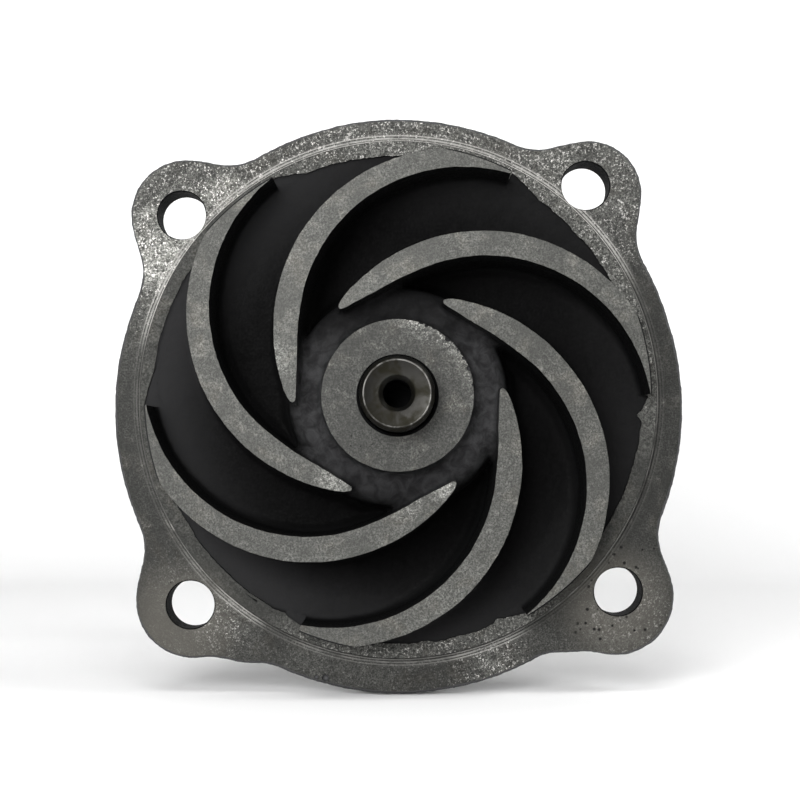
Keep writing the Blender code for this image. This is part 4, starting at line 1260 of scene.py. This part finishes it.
def build_slinger():
    bore, hub, rim = SHAFT_RADIUS + 0.15 * MM, 9.7 * MM, 12.2 * MM
    corners = [
        (bore, 15.6 * MM, 0.2 * MM),
        (hub, 15.6 * MM, 0.3 * MM),
        (hub, 17.3 * MM, 0.6 * MM),
        (rim, 16.2 * MM, 0.2 * MM),
        (rim, 17.0 * MM, 0.3 * MM),
        (hub, 18.5 * MM, 0.6 * MM),
        (hub, 20.4 * MM, 0.3 * MM),
        (bore, 20.4 * MM, 0.2 * MM),
    ]
    piece = revolved("water_slinger", rounded(corners), SMALL_STEPS)
    place_piece(piece, "rotor", "slinger", RUBBER)


# ---------------------------------------------------------------- face seal


def build_seal_case():
    wall, outer, lip, throat = 0.8 * MM, 17.75 * MM, 20.6 * MM, 9.6 * MM
    front, back = 3.0 * MM, 12.6 * MM
    corners = [
        (lip, front, 0.3 * MM),
        (lip, front + wall, 0.3 * MM),
        (outer, front + wall, 0.5 * MM),
        (outer, back, 1.4 * MM),
        (throat, back, 0.3 * MM),
        (throat, back - wall, 0.3 * MM),
        (outer - wall, back - wall, 0.7 * MM),
        (outer - wall, front, 1.1 * MM),
    ]
    case = revolved("seal_shell", rounded(corners), 160)
    place_piece(case, "housing", "seal_case", BRASS, 50)


def build_seal_bellows():
    """The rubber bellows: two soft waves with an even wall."""
    start, end, waves, count = 5.9 * MM, 11.5 * MM, 2, 49
    middle, swing, wall = 12.1 * MM, 0.7 * MM, 1.1 * MM
    outside, inside = [], []
    for i in range(count):
        along = i / (count - 1)
        radius = middle + swing * math.cos(math.tau * waves * along)
        outside.append((radius, start + (end - start) * along))
        inside.append((radius - wall, start + (end - start) * along))
    bellows = revolved("seal_boot", outside + inside[::-1], SMALL_STEPS)
    place_piece(bellows, "housing", "seal_bellows", RUBBER, 50)
    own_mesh(bellows)


def build_seal_spring():
    """An open coil of round wire with closed ends, swept along its helix."""
    start, end, turns, per_turn, round_count = 6.8 * MM, 10.9 * MM, 3, 72, 14
    coil_radius, wire_radius = 15.4 * MM, 0.55 * MM
    count = turns * per_turn + 1
    vertices, faces = [], []
    for i in range(count):
        angle = math.tau * i / per_turn
        y = start + (end - start) * i / (count - 1)
        for k in range(round_count):
            around = math.tau * k / round_count
            radius = coil_radius + wire_radius * math.cos(around)
            height = FACE_Y + y + wire_radius * math.sin(around)
            vertices.append((radius * math.cos(angle), height, radius * math.sin(angle)))
    for i in range(count - 1):
        for k in range(round_count):
            m = (k + 1) % round_count
            low, high = i * round_count, (i + 1) * round_count
            faces.append((low + k, low + m, high + m, high + k))
    faces.append(tuple(range(round_count)))
    faces.append(tuple(range(len(vertices) - round_count, len(vertices))))
    spring = mesh_object("seal_coil", vertices, faces)
    place_piece(spring, "housing", "seal_spring", SPRING_STEEL, 50)
    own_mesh(spring)


def build_seal_faces():
    """The carbon ring in its sleeve, and the ceramic ring in the rubber cup it runs against."""
    carbon_corners = [
        (9.5 * MM, 5.5 * MM, 0.15 * MM),
        (9.5 * MM, 3.0 * MM, 0.3 * MM),
        (10.6 * MM, 2.6 * MM, 0.2 * MM),
        (10.6 * MM, 1.7 * MM, 0.08 * MM),
        (12.3 * MM, 1.7 * MM, 0.08 * MM),
        (12.3 * MM, 3.0 * MM, 0.3 * MM),
        (13.2 * MM, 3.2 * MM, 0.15 * MM),
        (13.2 * MM, 5.5 * MM, 0.15 * MM),
    ]
    ring = revolved("carbon_face", rounded(carbon_corners), 128)
    place_piece(ring, "seal_face", "seal_carbon_ring", CARBON)
    sleeve_corners = [
        (13.5 * MM, 3.2 * MM, 0.15 * MM),
        (14.1 * MM, 3.2 * MM, 0.15 * MM),
        (14.1 * MM, 5.2 * MM, 0.4 * MM),
        (16.3 * MM, 5.2 * MM, 0.2 * MM),
        (16.3 * MM, 5.8 * MM, 0.2 * MM),
        (13.5 * MM, 5.8 * MM, 0.7 * MM),
    ]
    sleeve = revolved("carbon_sleeve", rounded(sleeve_corners), 128)
    place_piece(sleeve, "seal_face", "seal_ring_retainer", BRASS)
    mating_corners = [
        (9.1 * MM, -3.5 * MM, 0.2 * MM),
        (13.4 * MM, -3.5 * MM, 0.6 * MM),
        (13.4 * MM, 1.4 * MM, 0.5 * MM),
        (9.1 * MM, 1.4 * MM, 0.2 * MM),
    ]
    mating = revolved("ceramic_face", rounded(mating_corners), 128)
    place_piece(mating, "rotor", "mating_ring", CERAMIC)
    cup_corners = [
        (9.8 * MM, -4.7 * MM, 0.2 * MM),
        (14.7 * MM, -4.7 * MM, 0.5 * MM),
        (14.7 * MM, 1.0 * MM, 0.3 * MM),
        (13.7 * MM, 1.0 * MM, 0.3 * MM),
        (13.7 * MM, -3.9 * MM, 0.4 * MM),
        (9.8 * MM, -3.9 * MM, 0.2 * MM),
    ]
    cup = revolved("ceramic_cup", rounded(cup_corners), 128)
    place_piece(cup, "rotor", "mating_ring_cup", RUBBER)


# ---------------------------------------------------------------- stage


def build_stage():
    """A pale floor that curves up into a backdrop."""
    floor = cad_box[0].z - 0.5 * MM
    bend, wall_y = 160 * MM, 420 * MM
    line = [(-3.0, floor), (wall_y - bend, floor)]
    for i in range(1, 25):
        angle = math.radians(90 * i / 24)
        line.append((wall_y - bend + bend * math.sin(angle), floor + bend * (1 - math.cos(angle))))
    line.append((wall_y, 3.0))
    vertices = []
    for x in (-3.0, 3.0):
        vertices.extend((x, y, z) for y, z in line)
    count = len(line)
    faces = [(i, i + 1, count + i + 1, count + i) for i in range(count - 1)]
    sheet = mesh_object("backdrop", vertices, faces)
    sheet.data.shade_smooth()
    look = Look("paper")
    fibre = look.grain(0.8 * MM, 3.0, 0.6)
    tone = look.mix(fibre, (0.90, 0.90, 0.90), (0.93, 0.93, 0.93))
    # Painted light: the floor glows white to the camera, more the farther it is, so that it fades into the white
    # background.
    seen = look.add("ShaderNodeLightPath").outputs["Is Camera Ray"]
    away = look.add("ShaderNodeVectorMath", {0: look.place}, operation="LENGTH").outputs["Value"]
    haze = look.math("MULTIPLY", look.ramp(away, 0.28, 0.9, 0.0, 0.75), seen)
    bump = look.relief(fibre, 0.02 * MM, 0.2)
    white = (1.0, 1.0, 1.0, 1.0)
    look.finish(tone, 0.9, 0.0, bump, Specular_IOR_Level=0.1, Emission_Color=white, Emission_Strength=haze)
    sheet.data.materials.append(look.material)


def soft_light(name, place, size, watts, target=(0.0, -0.09, 0.0), colour=(1.0, 1.0, 1.0)):
    light = bpy.data.lights.new(name, "AREA")
    light.shape = "RECTANGLE"
    light.size, light.size_y = size
    light.energy = watts
    light.color = colour
    lamp = bpy.data.objects.new(name, light)
    lamp.location = place
    lamp.rotation_mode = "QUATERNION"
    lamp.rotation_quaternion = (Vector(target) - Vector(place)).to_track_quat("-Z", "Y")
    bpy.context.scene.collection.objects.link(lamp)


def build_lights():
    soft_light("key", (-0.20, -0.75, 0.17), (0.32, 0.32), 6.2)
    soft_light("above", (-0.05, -0.55, 0.60), (0.4, 0.3), 2.3)
    soft_light("right", (0.50, -0.35, 0.50), (0.3, 0.3), 1.8)
    soft_light("rear", (0.55, 0.45, 0.45), (0.4, 0.4), 1.2)
    world = bpy.data.worlds.new("studio")
    bpy.context.scene.world = world
    world.use_nodes = True
    nodes, links = world.node_tree.nodes, world.node_tree.links
    seen = nodes.new("ShaderNodeLightPath").outputs["Is Camera Ray"]
    strength = nodes.new("ShaderNodeMapRange")
    strength.inputs["To Min"].default_value = 0.3
    strength.inputs["To Max"].default_value = 1.0
    links.new(seen, strength.inputs["Value"])
    links.new(strength.outputs["Result"], nodes["Background"].inputs["Strength"])
    nodes["Background"].inputs["Color"].default_value = (1.0, 1.0, 1.0, 1.0)
    bpy.context.scene.view_settings.view_transform = "Standard"


def build_camera():
    """Square onto the flange from 340 mm, a little below the axis, with the lens shifted back up."""
    camera = bpy.data.cameras.new("camera")
    camera.lens = 66.5
    camera.sensor_width = 36.0
    camera.shift_x = -0.0175
    camera.shift_y = 0.0925
    camera.clip_start = 0.01
    eye = bpy.data.objects.new("camera", camera)
    eye.location = (3.54 * MM, FACE_Y - 340 * MM, -16.93 * MM)
    eye.rotation_euler = (math.radians(90), 0.0, 0.0)
    bpy.context.scene.collection.objects.link(eye)
    bpy.context.scene.camera = eye


# ---------------------------------------------------------------- assembly

SKIN = cast_skin("cast_skin", 0.045, 0.036, sheen=0.3)
# The passages' dark cast skin, darkened further as painted shade deep between the vanes.
PASSAGE_SKIN_AND_SHADE = cast_skin("passage_skin_and_shade", 0.0012, 0.004, 0.015, 0.022, sheen=0.04)
# Directions where the flange face tears into grain with painted highlights: the top, where the light catches it, and
# the bottom.
TORN_AND_HIGHLIGHT_SIDES = ((-0.12, 0.99, 9 * MM, 36 * MM, 1.0), (0.0, -1.0, 44 * MM, 60 * MM, 0.45))
# Spots where the flange face tears into grain with painted highlights; the two at the upper-left ear and the one at
# the bottom pass 1 into full painted highlight.
TORN_AND_HIGHLIGHT_EARS = (
    (-54 * MM, 35 * MM, 5 * MM, 22 * MM, 1.5),
    (-40 * MM, 47 * MM, 2 * MM, 13 * MM, 1.5),
    (40 * MM, 40 * MM, 2 * MM, 16 * MM, 1.0),
    (-40 * MM, -51 * MM, 2 * MM, 15 * MM, 0.85),
    (-50 * MM, -42 * MM, 4 * MM, 15 * MM, 0.45),
    (53 * MM, -50 * MM, 4 * MM, 20 * MM, 0.7),
    (22 * MM, -62 * MM, 2 * MM, 18 * MM, 1.15),
)
# Rub marks at the vanes' inner tips, with painted glints and highlight.
RUBBED_AND_GLINTING_TIPS = (
    (-14 * MM, -18 * MM, 1 * MM, 6 * MM, 1.15),
    (2 * MM, -24 * MM, 1 * MM, 7 * MM, 1.0),
    (10 * MM, -20 * MM, 1 * MM, 6 * MM, 1.15),
    (-27 * MM, 8 * MM, 1 * MM, 6 * MM, 0.7),
)
LIGHTER_BELOW = ((0.2, -0.98, 0.0, 55 * MM, 0.4),)
# The chipped upper-right edge of the hub face, with painted glints and highlight.
CHIPPED_AND_GLINTING_EDGE = ((0.5, 0.86, 10 * MM, 16.5 * MM, 1.15), (0.93, 0.36, 12.5 * MM, 16.5 * MM, 1.05))
FLANGE_FACE = machined_iron("flange_face", 0.03, 0.8, TORN_AND_HIGHLIGHT_SIDES, TORN_AND_HIGHLIGHT_EARS, 0.8)
VANE_FACE = machined_iron("vane_face", 0.074, 0.6, LIGHTER_BELOW, RUBBED_AND_GLINTING_TIPS, 0, 0.35, 0.6, 0.06, 9 * MM)
HUB_FACE = machined_iron("hub_face", 0.045, 0.6, CHIPPED_AND_GLINTING_EDGE, (), 0, 0.5, 0.65, 0.08, 5 * MM)
# Where the rim band tears into grain with painted glints: upper right and bottom.
RIM_SIDES = ((0.5, 0.86, 10 * MM, 40 * MM, 1.0), (0.1, -0.99, 40 * MM, 56 * MM, 0.9))
RIM_FACE = machined_iron("rim_face", 0.036, 0.6, RIM_SIDES)
TURNED_IRON = machined_iron("turned_iron", 0.04, 0.2)
SPOT_FACE = machined_iron("spot_face", 0.15, 0.3)
# Near-black for holes and bores: painted shade.
SHADED_BORE = cast_skin("painted_shade_bore", 0.004, 0.004, sheen=0.03)
BURNISHED = oiled_steel("burnished_iron", 0.12, (0.01, 0.009, 0.007), 0.4)
SHAFT_STEEL = oiled_steel("shaft_steel", 0.017, (0.0085, 0.0078, 0.005), 0.34)
OILY_STEEL = oiled_steel("oily_steel", 0.012, (0.006, 0.006, 0.005), 0.35)
HUB_STEEL = oiled_steel("hub_steel", 0.3, (0.225, 0.22, 0.205), 0.3, 0.35 * MM)
SPRING_STEEL = oiled_steel("spring_steel", 0.35, (0.2, 0.2, 0.2), 0.25)
POLISHED = polished_steel()
RUBBER = moulded("black_rubber", (0.022, 0.022, 0.023), (0.012, 0.012, 0.012), 0.55, 0.25 * MM)
NYLON = moulded("filled_nylon", (0.62, 0.55, 0.40), (0.50, 0.43, 0.30), 0.5, 0.3 * MM)
CARBON = moulded("pressed_carbon", (0.05, 0.05, 0.055), (0.028, 0.028, 0.03), 0.38, 0.12 * MM, 0.6)
BRASS = pressed_brass()
CERAMIC = ceramic()

build_housing()
build_impeller()
build_shaft()
build_drive_hub()
build_bearing_ring()
build_bearing_seals()
for row in ("front", "rear"):
    build_ball_row(row)
build_clip()
build_slinger()
build_seal_case()
build_seal_bellows()
build_seal_spring()
build_seal_faces()
build_stage()
build_lights()
build_camera()
